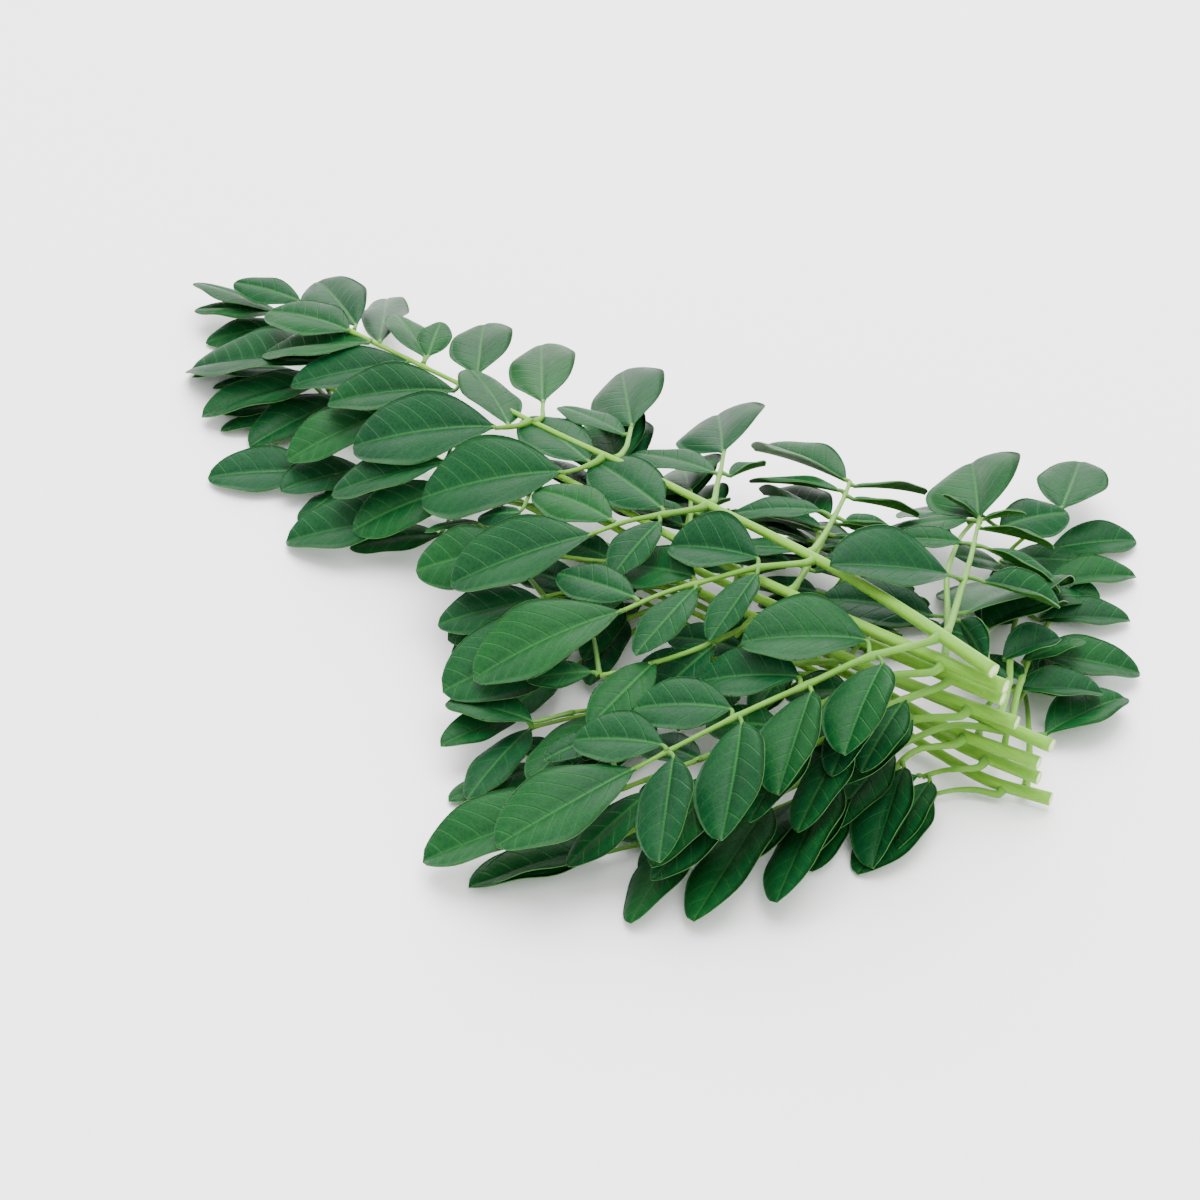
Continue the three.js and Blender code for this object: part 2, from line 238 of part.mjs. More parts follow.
        leaflets: [
          [32.98,0.1,18.59,32.12,-0.33,18.69,14.0,-1.07,15.95,-0.029,0.998,-0.053,-0.005,-0.978,0.207,4.82,0],
          [32.98,0.1,18.59,34.47,1.17,18.69,33.87,10.17,17.63,-0.998,-0.056,0.042,0.544,0.229,0.807,2.41,0],
          [26.71,7.85,17.28,26.79,7.51,17.38,11.49,19.41,11.01,-0.495,-0.787,-0.367,0.435,0.758,0.486,8.15,1],
        ] },
      { name: 'frond3_right_pinna_4', joined: true, r: [0.62, 0.34], path: [[17.06,-8.97,18.18],[15.77,-4.65,17.62],[13.23,-0.78,16.28],[10.75,2.92,14.44]],
        leaflets: [
          [12.54,0.25,15.77,12.0,-0.52,15.93,-6.45,2.56,13.41,0.206,0.937,-0.283,-0.21,-0.924,0.319,4.94,0],
          [10.75,2.92,14.44,10.66,3.3,14.63,-5.93,22.87,13.39,-0.58,-0.628,-0.519,0.649,0.653,0.391,7.35,1],
        ] },
    ] },
  { name: 'frond4',
    stem: { r: [1.3, 0.42], path: [[108.68,-2.43,18.36],[87.33,-7.11,18.23],[65.43,-9.17,17.44],[43.87,-7.86,14.02],[23.95,-1.62,7.04],[2.44,-1.79,5.96],[-17.71,-7.87,10.71],[-39.32,-7.34,8.41],[-59.63,-1.96,2.25]],
      leaflets: [
        [-59.63,-1.96,2.25,-62.39,1.76,2.67,-64.32,-21.25,0.66,-0.939,0.049,0.339,0.958,-0.103,0.267,6.02,0],
        [-59.63,-1.96,2.25,-92.28,12.46,2.67,-101.67,-2.47,0.66,-0.846,0.513,0.146,0.848,-0.529,-0.036,4.62,0],
        [-59.63,-1.96,2.25,-76.4,1.83,2.67,-93.07,-12.93,0.66,-0.625,0.74,-0.25,0.574,-0.705,0.417,5.81,1],
        [-59.63,-1.96,2.25,-75.51,1.08,2.67,-86.71,-12.58,0.66,-0.748,0.639,-0.18,0.712,-0.629,0.312,4.62,0],
      ] },
    pinnae: [
      { name: 'frond4_left_pinna_1', joined: false, r: [0.72, 0.36], path: [[100.73,-6.76,17.75],[93.43,-11.76,15.34],[88.82,-18.61,10.64],[86.1,-26.89,7.94],[83.84,-35.91,6.65],[79.52,-44.01,4.39],[73.55,-50.67,1.17]],
        leaflets: [
          [74.18,-49.97,1.51,74.6,-50.6,1.77,61.89,-50.91,0.66,-0.043,0.973,0.226,0.019,-0.998,0.057,3.74,0],
          [81.84,-40.12,5.61,81.7,-40.64,5.75,70.48,-44.79,5.76,-0.33,0.891,0.311,0.346,-0.937,0.054,4.09,0],
          [89.55,-17.38,11.42,89.89,-17.38,11.62,78.19,-17.5,9.26,-0.079,0.936,0.342,0.032,-0.993,-0.11,3.4,0],
          [94.07,-10.92,15.96,94.48,-11.43,16.06,93.42,-27.6,11.26,-0.996,0.044,0.073,0.869,-0.192,0.457,5.56,0],
          [86.59,-23.22,8.26,89.96,-24.64,8.53,100.63,-50.3,5.26,-0.748,-0.232,-0.622,0.689,0.198,0.698,7.27,0],
          [84.46,-34.59,6.97,85.38,-35.66,7.08,92.8,-60.71,2.96,-0.873,-0.184,-0.452,0.793,0.137,0.593,6.88,0],
          [79.26,-44.31,4.24,78.08,-43.8,4.43,85.45,-67.18,1.96,-0.817,-0.2,-0.54,0.787,0.186,0.588,6.4,0],
          [73.55,-50.67,1.17,70.52,-57.94,1.44,60.38,-78.37,0.66,-0.895,0.442,0.063,0.776,-0.404,0.485,5.93,0],
          [85.89,-28.51,7.8,82.7,-27.42,8.02,76.61,-35.73,8.26,-0.751,0.56,0.35,0.805,-0.588,0.079,3.37,1],
        ] },
      { name: 'frond4_left_pinna_2', joined: false, r: [0.62, 0.36], path: [[57.83,-10.98,16.05],[56.04,-17.66,11.19],[52.94,-24.56,7.21],[49.59,-31.94,5.05],[46.32,-39.86,5.78],[43.22,-47.65,6.11]],
        leaflets: [
          [55.54,-18.94,10.16,56.09,-19.45,10.26,44.06,-22.87,6.26,-0.377,0.819,0.433,0.348,-0.894,-0.282,3.54,0],
          [43.22,-47.65,6.11,43.34,-48.46,6.21,46.76,-65.86,3.33,-0.965,-0.154,-0.213,0.943,0.134,0.304,4.67,0],
          [43.22,-47.65,6.11,39.63,-47.23,6.21,35.61,-61.56,5.63,-0.918,0.245,0.312,0.907,-0.268,0.325,4.23,0],
          [48.52,-34.54,5.29,50.75,-36.93,5.39,54.84,-52.72,2.26,-0.958,-0.209,-0.195,0.905,0.155,0.397,4.32,1],
        ] },
      { name: 'frond4_left_pinna_3', joined: false, r: [0.62, 0.36], path: [[33.36,-6.04,11.12],[30.62,-12.9,13.7],[27.77,-20.17,12.28],[23.43,-26.8,11.52]],
        leaflets: [
          [30.93,-12.04,13.87,31.21,-12.82,13.97,6.91,-0.71,1.55,0.531,0.81,-0.25,-0.542,-0.788,0.293,7.76,0],
          [23.43,-26.8,11.52,22.72,-28.54,11.62,15.35,-41.4,6.26,-0.867,0.347,0.358,0.883,-0.41,-0.23,4.41,0],
          [27.7,-20.28,12.26,29.8,-22.06,12.36,31.19,-34.35,8.76,-0.987,-0.136,0.083,0.986,0.067,0.151,3.58,1],
        ] },
      { name: 'frond4_left_pinna_4', joined: false, r: [0.62, 0.36], path: [[-6.51,-7.21,10.24],[-5.01,-11.61,11.43],[-8.97,-15.86,10.17],[-13.33,-19.53,8.49]],
        leaflets: [
          [-6.87,-13.6,10.84,-6.29,-13.42,10.94,-19.5,-13.95,8.26,-0.108,0.93,0.351,0.077,-0.979,-0.187,3.51,0],
          [-13.33,-19.53,8.49,-12.98,-19.84,8.59,-34.18,-37.22,0.66,-0.663,0.613,0.43,0.589,-0.792,0.159,7.42,1],
        ] },
      { name: 'frond4_right_pinna_1', joined: false, r: [0.72, 0.36], path: [[105.0,-1.84,17.83],[98.55,8.76,15.42],[91.55,18.49,11.1],[84.92,28.23,6.26],[78.3,37.98,1.41],[72.53,49.15,0.63],[67.52,60.86,0.63]],
        leaflets: [
          [98.93,8.25,15.63,99.13,7.97,15.79,89.26,8.18,13.26,-0.035,0.976,0.217,-0.008,-0.999,-0.049,2.65,0],
          [77.75,38.79,1.01,77.98,38.53,1.12,70.54,36.43,1.01,-0.255,0.884,0.393,0.271,-0.959,-0.081,2.68,0],
          [71.92,50.38,0.63,71.95,50.66,0.73,65.34,47.31,0.66,-0.413,0.806,0.425,0.451,-0.887,-0.094,2.53,0],
          [92.52,17.06,11.81,91.85,16.08,12.09,95.91,26.33,13.26,-0.809,0.261,0.527,0.714,-0.352,0.605,4.55,0],
          [75.9,42.27,0.63,80.47,42.63,0.73,92.02,53.88,0.66,-0.636,0.655,0.409,0.622,-0.635,0.457,4.54,0],
          [71.48,51.28,0.63,74.66,51.6,0.73,84.66,65.73,0.66,-0.748,0.531,0.398,0.718,-0.505,0.479,5.05,0],
          [67.52,60.86,0.63,68.26,61.4,0.73,77.75,75.18,0.66,-0.751,0.519,0.408,0.81,-0.557,0.184,5.14,1],
        ] },
      { name: 'frond4_right_pinna_2', joined: false, r: [0.62, 0.34], path: [[66.91,-7.36,17.4],[64.42,-0.45,16.32],[61.47,6.28,15.05],[58.47,12.97,13.67],[55.22,19.52,12.2]],
        leaflets: [
          [61.57,6.07,15.1,59.29,5.19,15.2,46.44,1.74,11.73,-0.277,0.958,0.069,0.188,-0.952,0.24,3.58,0],
          [57.18,15.57,13.09,56.0,14.93,13.19,41.11,12.18,10.08,-0.12,0.968,-0.221,-0.006,-0.813,0.582,4.07,0],
          [55.22,19.52,12.2,54.39,19.25,12.3,31.92,24.98,4.88,0.191,0.96,0.205,-0.343,-0.643,0.685,6.22,0],
          [61.99,5.14,15.29,63.87,5.67,15.39,68.22,13.3,13.02,-0.799,0.566,0.206,0.802,-0.145,0.579,2.52,0],
          [58.15,13.59,13.53,59.58,14.11,13.63,65.63,24.34,9.1,-0.887,0.425,-0.182,0.755,-0.093,0.649,3.42,0],
          [55.71,18.53,12.42,56.72,18.5,12.52,62.35,30.81,9.69,-0.913,0.284,-0.293,0.779,-0.071,0.623,3.81,1],
        ] },
      { name: 'frond4_right_pinna_3', joined: false, r: [0.62, 0.34], path: [[43.18,-8.54,15.25],[38.31,-4.23,13.66],[33.89,0.61,12.13],[29.14,5.55,13.37]],
        leaflets: [
          [35.48,-1.16,12.18,34.71,-1.62,12.28,19.08,-2.94,4.69,-0.073,0.996,-0.053,0.038,-0.978,0.207,4.17,0],
          [35.48,-1.16,12.18,36.78,-0.06,12.28,35.75,8.38,12.44,-0.993,-0.11,0.042,0.531,0.258,0.807,2.27,0],
          [29.14,5.55,13.37,29.24,5.24,13.47,16.98,18.12,9.77,-0.607,-0.705,-0.367,0.542,0.685,0.486,7.48,1],
        ] },
    ] },
  { name: 'frond5',
    stem: { r: [1.3, 0.42], path: [[113.63,0.87,14.56],[93.85,-1.73,14.24],[74.01,-4.47,13.5],[54.06,-5.1,11.67],[35.0,-1.48,6.94],[15.71,1.86,2.66],[-2.6,-1.63,5.13],[-22.34,-2.82,4.65],[-42.07,-1.73,1.21]],
      leaflets: [
        [-42.07,-1.73,1.21,-41.43,-11.34,1.31,-45.04,-29.18,3.16,-0.871,0.222,0.438,0.979,-0.192,0.067,5.28,0],
        [-21.35,-2.8,4.72,-10.81,-19.5,5.01,-22.57,-31.41,2.16,-0.719,0.69,0.086,0.71,-0.705,0.016,4.42,0],
        [-42.07,-1.73,1.21,-66.44,-6.65,1.31,-72.9,-21.6,0.66,-0.913,0.398,-0.091,0.874,-0.39,0.29,4.24,0],
        [-42.07,-1.73,1.21,-68.46,-4.96,1.31,-77.84,-17.64,0.66,-0.758,0.576,-0.305,0.771,-0.583,0.256,4.1,0],
      ] },
    pinnae: [
      { name: 'frond5_left_pinna_1', joined: false, r: [0.72, 0.36], path: [[105.04,-0.18,13.41],[97.66,-4.56,12.84],[92.95,-11.51,10.15],[88.2,-16.95,5.06],[84.35,-23.93,1.84],[81.65,-32.22,0.9],[79.89,-40.91,1.64]],
        leaflets: [
          [88.77,-16.35,5.69,89.38,-17.05,5.87,78.43,-20.05,5.95,-0.248,0.914,0.322,0.263,-0.964,-0.042,3.8,0],
          [81.1,-34.96,1.13,81.35,-35.28,1.25,72.64,-38.0,3.01,-0.238,0.935,0.264,0.3,-0.954,0.013,3.76,0],
          [91.76,-13.19,8.98,92.39,-13.04,9.1,94.9,-31.98,4.92,-0.987,-0.105,-0.119,0.921,0.037,0.387,5.08,0],
          [83.79,-25.32,1.51,84.06,-26.1,1.66,90.44,-50.32,4.59,-0.802,-0.188,-0.567,0.771,0.178,0.612,6.52,0],
          [86.01,-19.8,2.83,87.84,-21.06,3.05,96.68,-39.72,3.64,-0.647,-0.212,-0.732,0.689,0.238,0.684,5.4,0],
          [79.89,-40.91,1.64,79.41,-42.3,1.77,77.09,-56.6,0.66,-0.976,0.146,0.159,0.98,-0.168,0.11,3.78,1],
        ] },
      { name: 'frond5_left_pinna_3', joined: false, r: [0.62, 0.36], path: [[34.81,-2.78,7.71],[31.28,-10.46,9.85],[27.22,-18.52,8.5],[23.13,-26.59,7.36]],
        leaflets: [
          [28.14,-16.7,8.76,28.66,-17.22,8.86,15.51,-18.0,6.26,-0.128,0.919,0.374,0.087,-0.986,-0.144,3.67,0],
          [29.52,-13.95,9.24,30.77,-14.35,9.34,34.94,-27.18,4.76,-0.956,-0.268,-0.119,0.941,0.21,0.266,3.7,0],
          [23.13,-26.59,7.36,23.03,-27.71,7.46,17.02,-42.12,3.16,-0.903,0.28,0.326,0.928,-0.364,-0.079,4.42,1],
        ] },
      { name: 'frond5_right_pinna_1', joined: false, r: [0.72, 0.36], path: [[104.56,1.81,13.79],[99.61,9.88,11.96],[94.96,17.9,9.34],[90.41,25.92,6.5],[86.23,34.15,3.76],[82.33,42.56,1.09],[78.68,51.42,0.63]],
        leaflets: [
          [95.82,16.39,9.88,96.0,16.26,9.98,85.09,20.3,7.27,0.356,0.934,-0.04,-0.38,-0.909,0.174,3.1,0],
          [89.4,27.7,5.87,90.21,27.86,5.97,103.02,41.7,1.26,-0.587,0.688,0.427,0.752,-0.611,0.248,5.2,0],
          [91.87,23.35,7.41,91.02,22.97,7.51,95.57,34.62,8.26,-0.909,0.367,-0.198,0.786,-0.34,0.517,3.26,0],
          [78.68,51.42,0.63,78.38,51.8,0.73,84.33,55.26,0.66,-0.452,0.785,0.424,0.502,-0.863,-0.053,2.92,1],
        ] },
      { name: 'frond5_right_pinna_2', joined: false, r: [0.62, 0.34], path: [[70.99,-3.01,13.25],[67.62,3.97,12.12],[63.76,10.7,10.81],[59.83,17.37,9.39],[55.67,23.89,7.95]],
        leaflets: [
          [63.85,10.55,10.84,61.57,9.36,10.94,48.5,2.28,8.38,-0.492,0.868,0.069,0.404,-0.883,0.24,4.0,0],
          [58.4,19.61,8.9,57.01,19.18,9.0,41.82,14.99,7.96,-0.203,0.954,-0.221,0.065,-0.811,0.582,4.24,0],
          [55.67,23.89,7.95,54.83,23.51,8.05,30.43,24.68,1.03,-0.005,0.979,0.205,-0.207,-0.699,0.685,6.55,0],
          [64.39,9.62,11.03,66.31,10.39,11.13,70.02,18.64,6.94,-0.849,0.487,0.206,0.812,-0.068,0.579,2.6,0],
          [59.5,17.9,9.28,60.85,18.73,9.38,65.89,28.67,3.56,-0.912,0.367,-0.182,0.759,-0.044,0.649,3.2,0],
        ] },
      { name: 'frond5_right_pinna_3', joined: false, r: [0.62, 0.34], path: [[47.71,-4.96,11.94],[44.19,0.52,11.11],[40.74,6.04,10.23],[37.14,11.47,9.38]],
        leaflets: [
          [41.87,4.2,10.52,41.26,3.56,10.62,26.22,5.11,7.33,0.114,0.992,-0.053,-0.144,-0.968,0.207,4.02,0],
          [41.87,4.2,10.52,43.53,4.7,10.62,45.01,13.27,9.17,-0.983,0.179,0.042,0.583,0.094,0.807,2.32,0],
        ] },
      { name: 'frond5_left_pinna_2', joined: false, r: [0.62, 0.34], path: [[72.73,-6.16,13.37],[66.84,-11.29,12.59],[61.94,-17.35,11.07],[58.47,-22.51,7.72],[56.76,-26.63,1.16]],
        leaflets: [
          [67.56,-10.4,12.75,66.1,-8.86,12.85,52.55,-11.72,9.89,-0.268,0.705,0.657,0.18,-0.974,0.141,5.98,0],
          [67.56,-10.4,12.75,68.68,-11.78,12.85,70.35,-23.05,9.68,-0.99,-0.138,-0.023,0.876,-0.056,0.48,3.4,0],
          [61.82,-17.52,11.04,60.95,-16.34,11.14,49.37,-18.06,3.92,-0.217,0.876,0.43,0.165,-0.982,-0.097,4.18,0],
          [61.82,-17.52,11.04,62.95,-18.1,11.14,64.35,-29.77,8.6,-0.993,-0.097,-0.059,0.974,0.036,0.222,3.25,0],
        ] },
    ] },
  { name: 'frond6',
    stem: { r: [1.3, 0.42], path: [[112.2,-0.11,10.76],[96.3,-3.46,10.72],[79.99,-3.04,10.11],[63.6,-3.87,9.27],[47.35,-3.66,7.52],[31.36,-1.54,4.39],[15.3,0.56,1.57],[-1.04,-0.16,1.21],[-16.99,-3.73,2.34]],
      leaflets: [
        [-16.99,-3.73,2.34,-44.73,-18.56,2.44,-61.13,-34.21,0.94,-0.635,0.621,0.459,0.691,-0.723,-0.003,5.97,1],
        [-16.99,-3.73,2.34,-32.72,-9.99,2.44,-39.11,-24.73,0.66,-0.881,0.343,0.325,0.918,-0.39,-0.065,4.2,0],
      ] },
    pinnae: [
      { name: 'frond6_left_pinna_1', joined: false, r: [0.72, 0.36], path: [[99.55,-5.53,10.55],[95.16,-10.98,9.69],[94.06,-16.91,6.33],[91.89,-22.73,3.03]],
        leaflets: [
          [94.69,-13.46,8.56,95.99,-14.51,8.66,104.12,-31.25,2.56,-0.894,-0.319,-0.316,0.57,-0.022,0.821,7.03,0],
          [91.89,-22.73,3.03,92.05,-24.16,3.13,96.53,-37.16,0.85,-0.824,-0.182,-0.537,0.874,0.218,0.435,3.63,1],
        ] },
      { name: 'frond6_left_pinna_3', joined: false, r: [0.62, 0.36], path: [[36.21,-3.52,5.69],[34.03,-9.75,6.0],[31.29,-15.84,4.95],[29.52,-22.32,4.47],[27.96,-28.88,4.11]],
        leaflets: [
          [30.82,-16.88,4.77,31.32,-16.88,5.03,19.29,-17.97,3.76,-0.12,0.936,0.332,0.1,-0.99,-0.096,3.68,0],
          [32.05,-14.14,5.24,32.33,-14.65,5.49,38.74,-29.75,2.76,-0.883,-0.311,-0.352,0.827,0.262,0.497,4.32,0],
          [27.96,-28.88,4.11,27.85,-29.99,4.21,23.68,-44.08,1.27,-0.931,0.214,0.294,0.96,-0.28,-0.019,4.0,1],
        ] },
      { name: 'frond6_right_pinna_1', joined: false, r: [0.72, 0.36], path: [[100.78,-1.64,10.5],[97.59,3.78,9.57],[94.96,9.51,8.62],[94.57,15.72,7.36]],
        leaflets: [
          [94.57,15.72,7.36,95.01,15.97,7.46,104.85,27.86,5.26,-0.669,0.628,0.399,0.709,-0.495,0.502,4.69,0],
          [94.57,15.72,7.36,94.32,16.85,7.46,101.06,21.73,6.76,-0.577,0.75,-0.323,0.586,-0.773,0.243,2.17,1],
        ] },
      { name: 'frond6_right_pinna_2', joined: false, r: [0.62, 0.34], path: [[70.27,-2.02,9.56],[67.2,4.38,8.52],[63.73,10.49,6.96],[60.25,16.47,4.91],[56.52,22.37,3.1]],
        leaflets: [
          [63.87,10.25,7.04,61.8,9.19,7.14,48.9,2.91,5.53,-0.453,0.889,0.069,0.365,-0.899,0.24,3.87,0],
          [58.76,18.82,4.19,57.71,18.1,4.29,43.53,14.18,2.75,-0.203,0.954,-0.221,0.065,-0.811,0.582,3.96,0],
          [64.36,9.41,7.33,66.09,10.1,7.43,68.75,17.75,4.05,-0.888,0.411,0.206,0.815,0.004,0.579,2.33,0],
          [59.89,17.04,4.73,61.18,17.67,4.83,66.01,28.14,2.81,-0.925,0.333,-0.182,0.761,-0.015,0.649,3.31,0],
        ] },
      { name: 'frond6_left_pinna_2', joined: false, r: [0.62, 0.34], path: [[72.04,-4.93,9.68],[66.51,-9.52,9.04],[61.82,-15.06,8.22],[57.76,-20.62,6.7],[55.7,-25.26,1.46]],
        leaflets: [
          [66.76,-9.21,9.08,65.33,-7.65,9.18,52.94,-11.3,3.24,-0.322,0.682,0.657,0.255,-0.957,0.141,5.57,0],
          [66.76,-9.21,9.08,67.86,-10.61,9.18,68.14,-21.66,6.43,-1.0,-0.017,-0.023,0.862,-0.162,0.48,3.3,0],
          [60.9,-16.24,8.05,60.06,-15.04,8.15,47.76,-18.48,1.95,-0.325,0.842,0.43,0.286,-0.953,-0.097,4.56,0],
        ] },
    ] },
  { name: 'frond7',
    stem: { r: [1.3, 0.42], path: [[111.69,1.17,6.56],[98.33,-1.3,6.56],[84.48,-1.49,6.44],[70.66,-2.31,6.06],[56.83,-3.02,5.55],[43.0,-3.67,5.03],[29.28,-3.39,3.67],[15.69,-2.13,1.41],[1.92,-3.62,1.21]],
      leaflets: [
        [1.92,-3.62,1.21,1.36,-4.38,1.31,-6.63,-19.72,1.56,-0.882,0.461,0.094,0.887,-0.462,0.011,4.5,0],
        [1.92,-3.62,1.21,-39.56,-19.3,1.31,-37.41,-31.11,0.66,-0.972,-0.168,-0.167,0.984,0.179,0.004,3.13,0],
      ] },
    pinnae: [
      { name: 'frond7_left_pinna_1', joined: false, r: [0.72, 0.36], path: [[102.84,-3.3,6.32],[100.68,-5.8,6.09],[97.85,-6.81,4.65],[95.8,-9.17,3.52]],
        leaflets: [
          [96.42,-8.4,3.86,98.03,-9.87,4.17,103.47,-27.22,1.76,-0.945,-0.271,-0.181,0.721,0.132,0.68,5.6,0],
          [95.8,-9.17,3.52,95.24,-9.55,3.84,91.12,-20.55,2.56,-0.937,0.346,0.044,0.927,-0.36,0.105,3.07,1],
        ] },
      { name: 'frond7_left_pinna_3', joined: false, r: [0.62, 0.36], path: [[34.66,-5.19,4.28],[33.53,-13.1,3.05],[32.44,-21.06,2.08],[31.93,-29.12,1.55]],
        leaflets: [
          [31.93,-29.12,1.55,32.02,-30.43,1.65,33.11,-45.85,0.92,-0.997,-0.071,0.007,0.983,0.061,0.176,4.02,1],
        ] },
      { name: 'frond7_right_pinna_1', joined: false, r: [0.72, 0.36], path: [[105.11,0.53,6.24],[100.7,6.45,5.38],[97.14,13.01,4.68],[94.16,19.84,4.21],[92.17,27.06,3.76]],
        leaflets: [
          [92.17,27.06,3.76,92.25,26.95,3.86,92.94,42.58,0.66,-0.999,0.038,-0.03,0.972,0.005,0.234,4.15,0],
          [93.93,20.68,4.16,93.49,20.28,4.26,95.04,33.38,2.76,-0.983,0.099,-0.153,0.925,-0.066,0.375,3.45,1],
        ] },
      { name: 'frond7_right_pinna_2', joined: false, r: [0.62, 0.34], path: [[69.59,-0.88,5.93],[66.94,5.86,4.83],[63.87,12.27,3.02],[60.82,18.48,0.53],[57.32,24.96,0.53]],
        leaflets: [
          [63.95,12.11,3.08,61.77,11.17,3.18,48.47,5.45,1.78,-0.412,0.909,0.069,0.323,-0.915,0.24,3.9,0],
          [59.36,21.19,0.53,58.24,20.53,0.76,42.52,18.18,0.76,-0.086,0.971,-0.221,-0.034,-0.812,0.582,4.27,0],
          [64.39,11.22,3.45,66.2,11.8,3.55,69.64,19.87,0.76,-0.858,0.471,0.206,0.814,-0.052,0.579,2.52,0],
          [60.38,19.3,0.53,61.74,19.85,0.76,68.7,28.94,0.76,-0.83,0.527,-0.182,0.739,-0.182,0.649,3.29,0],
        ] },
    ] },
  { name: 'frond8',
    stem: { r: [1.3, 0.42], path: [[113.56,2.58,2.36],[103.14,-0.95,2.36],[92.11,-1.12,2.27],[81.06,-0.83,2.14],[70.03,-1.48,1.97],[59.01,-2.31,1.82],[47.98,-3.02,1.56],[36.95,-3.62,1.21],[25.91,-4.23,1.21]],
      leaflets: [
        [25.91,-4.23,1.21,24.93,-4.53,1.31,9.55,-8.49,0.66,-0.251,0.939,0.233,0.248,-0.969,0.016,4.13,0],
        [25.91,-4.23,1.21,27.08,-5.43,1.31,24.07,-22.67,0.96,-0.983,0.173,-0.062,0.972,-0.173,0.159,4.55,0],
      ] },
    pinnae: [
      { name: 'frond8_left_pinna_1', joined: false, r: [0.72, 0.36], path: [[106.27,-1.99,1.71],[103.31,-3.91,2.06],[100.72,-6.36,1.97],[98.92,-9.41,1.86]],
        leaflets: [
          [98.92,-9.41,1.86,99.74,-10.92,1.96,102.05,-32.33,0.66,-0.975,-0.093,-0.203,0.903,0.072,0.424,5.61,1],
        ] },
      { name: 'frond8_left_pinna_3', joined: false, r: [0.62, 0.36], path: [[49.31,-4.16,1.38],[50.09,-12.56,0.91],[50.65,-20.98,0.53],[50.32,-29.43,0.53],[49.5,-37.83,0.53],[48.11,-46.17,0.53]],
        leaflets: [
          [48.11,-46.17,0.53,48.17,-47.4,0.63,42.62,-66.39,0.76,-0.941,0.274,-0.2,0.903,-0.262,0.339,5.14,0],
          [50.38,-27.82,0.53,51.37,-27.84,0.91,58.23,-46.79,3.17,-0.832,-0.304,-0.463,0.758,0.278,0.59,5.24,0],
          [48.11,-46.17,0.53,47.44,-45.51,0.63,40.25,-47.93,1.36,-0.28,0.918,0.282,0.314,-0.948,-0.043,2.33,1],
        ] },
      { name: 'frond8_right_pinna_1', joined: false, r: [0.72, 0.36], path: [[108.47,2.48,2.24],[104.09,8.84,3.31],[99.31,14.9,2.54],[94.41,20.85,1.37],[89.05,26.47,0.63]],
        leaflets: [
          [101.21,12.57,3.01,103.04,14.76,3.14,106.28,32.64,2.76,-0.96,0.179,0.214,0.873,-0.148,0.465,5.87,0],
          [89.05,26.47,0.63,88.66,27.51,0.73,90.4,44.22,0.66,-0.982,0.101,-0.16,0.932,-0.095,0.349,4.37,1],
        ] },
      { name: 'frond8_right_pinna_2', joined: false, r: [0.62, 0.34], path: [[71.21,0.04,1.9],[68.2,7.1,1.06],[64.54,14.0,0.53],[60.8,20.89,0.53],[56.8,27.63,0.53]],
        leaflets: [
          [64.53,14.03,0.53,62.21,12.92,0.76,49.64,6.5,0.76,-0.47,0.88,0.069,0.382,-0.892,0.24,3.8,0],
        ] },
    ] },
];

// ---- solids -----------------------------------------------------------------
const wasm = await Module();
wasm.setup();

function signedVolume(pos, idx) {
  const a = new THREE.Vector3(), b = new THREE.Vector3(), c = new THREE.Vector3();
  let v = 0;
  for (let i = 0; i < idx.length; i += 3) {
    a.fromArray(pos, idx[i] * 3); b.fromArray(pos, idx[i + 1] * 3); c.fromArray(pos, idx[i + 2] * 3);
    v += a.dot(b.cross(c));
  }
  return v / 6;
}

function toSolid(geometry) {
  geometry.deleteAttribute('normal');
  geometry.deleteAttribute('uv');
  const g = mergeVertices(geometry, 1e-4);
  const vertProperties = new Float32Array(g.attributes.position.array);
  const triVerts = new Uint32Array(g.index.array);
  if (signedVolume(vertProperties, triVerts) < 0) {
    for (let i = 0; i < triVerts.length; i += 3) {
      const t = triVerts[i + 1]; triVerts[i + 1] = triVerts[i + 2]; triVerts[i + 2] = t;
    }
  }
  return new wasm.Manifold(new wasm.Mesh({ numProp: 3, vertProperties, triVerts }));
}

// half width along a blade, as a fraction of its greatest half width
function profile(t, end) {
  const p = end ? 1.15 : 1.0;
  return Math.pow(Math.sin(Math.PI * Math.pow(t, p)), 0.8 - 0.26 * t);
}

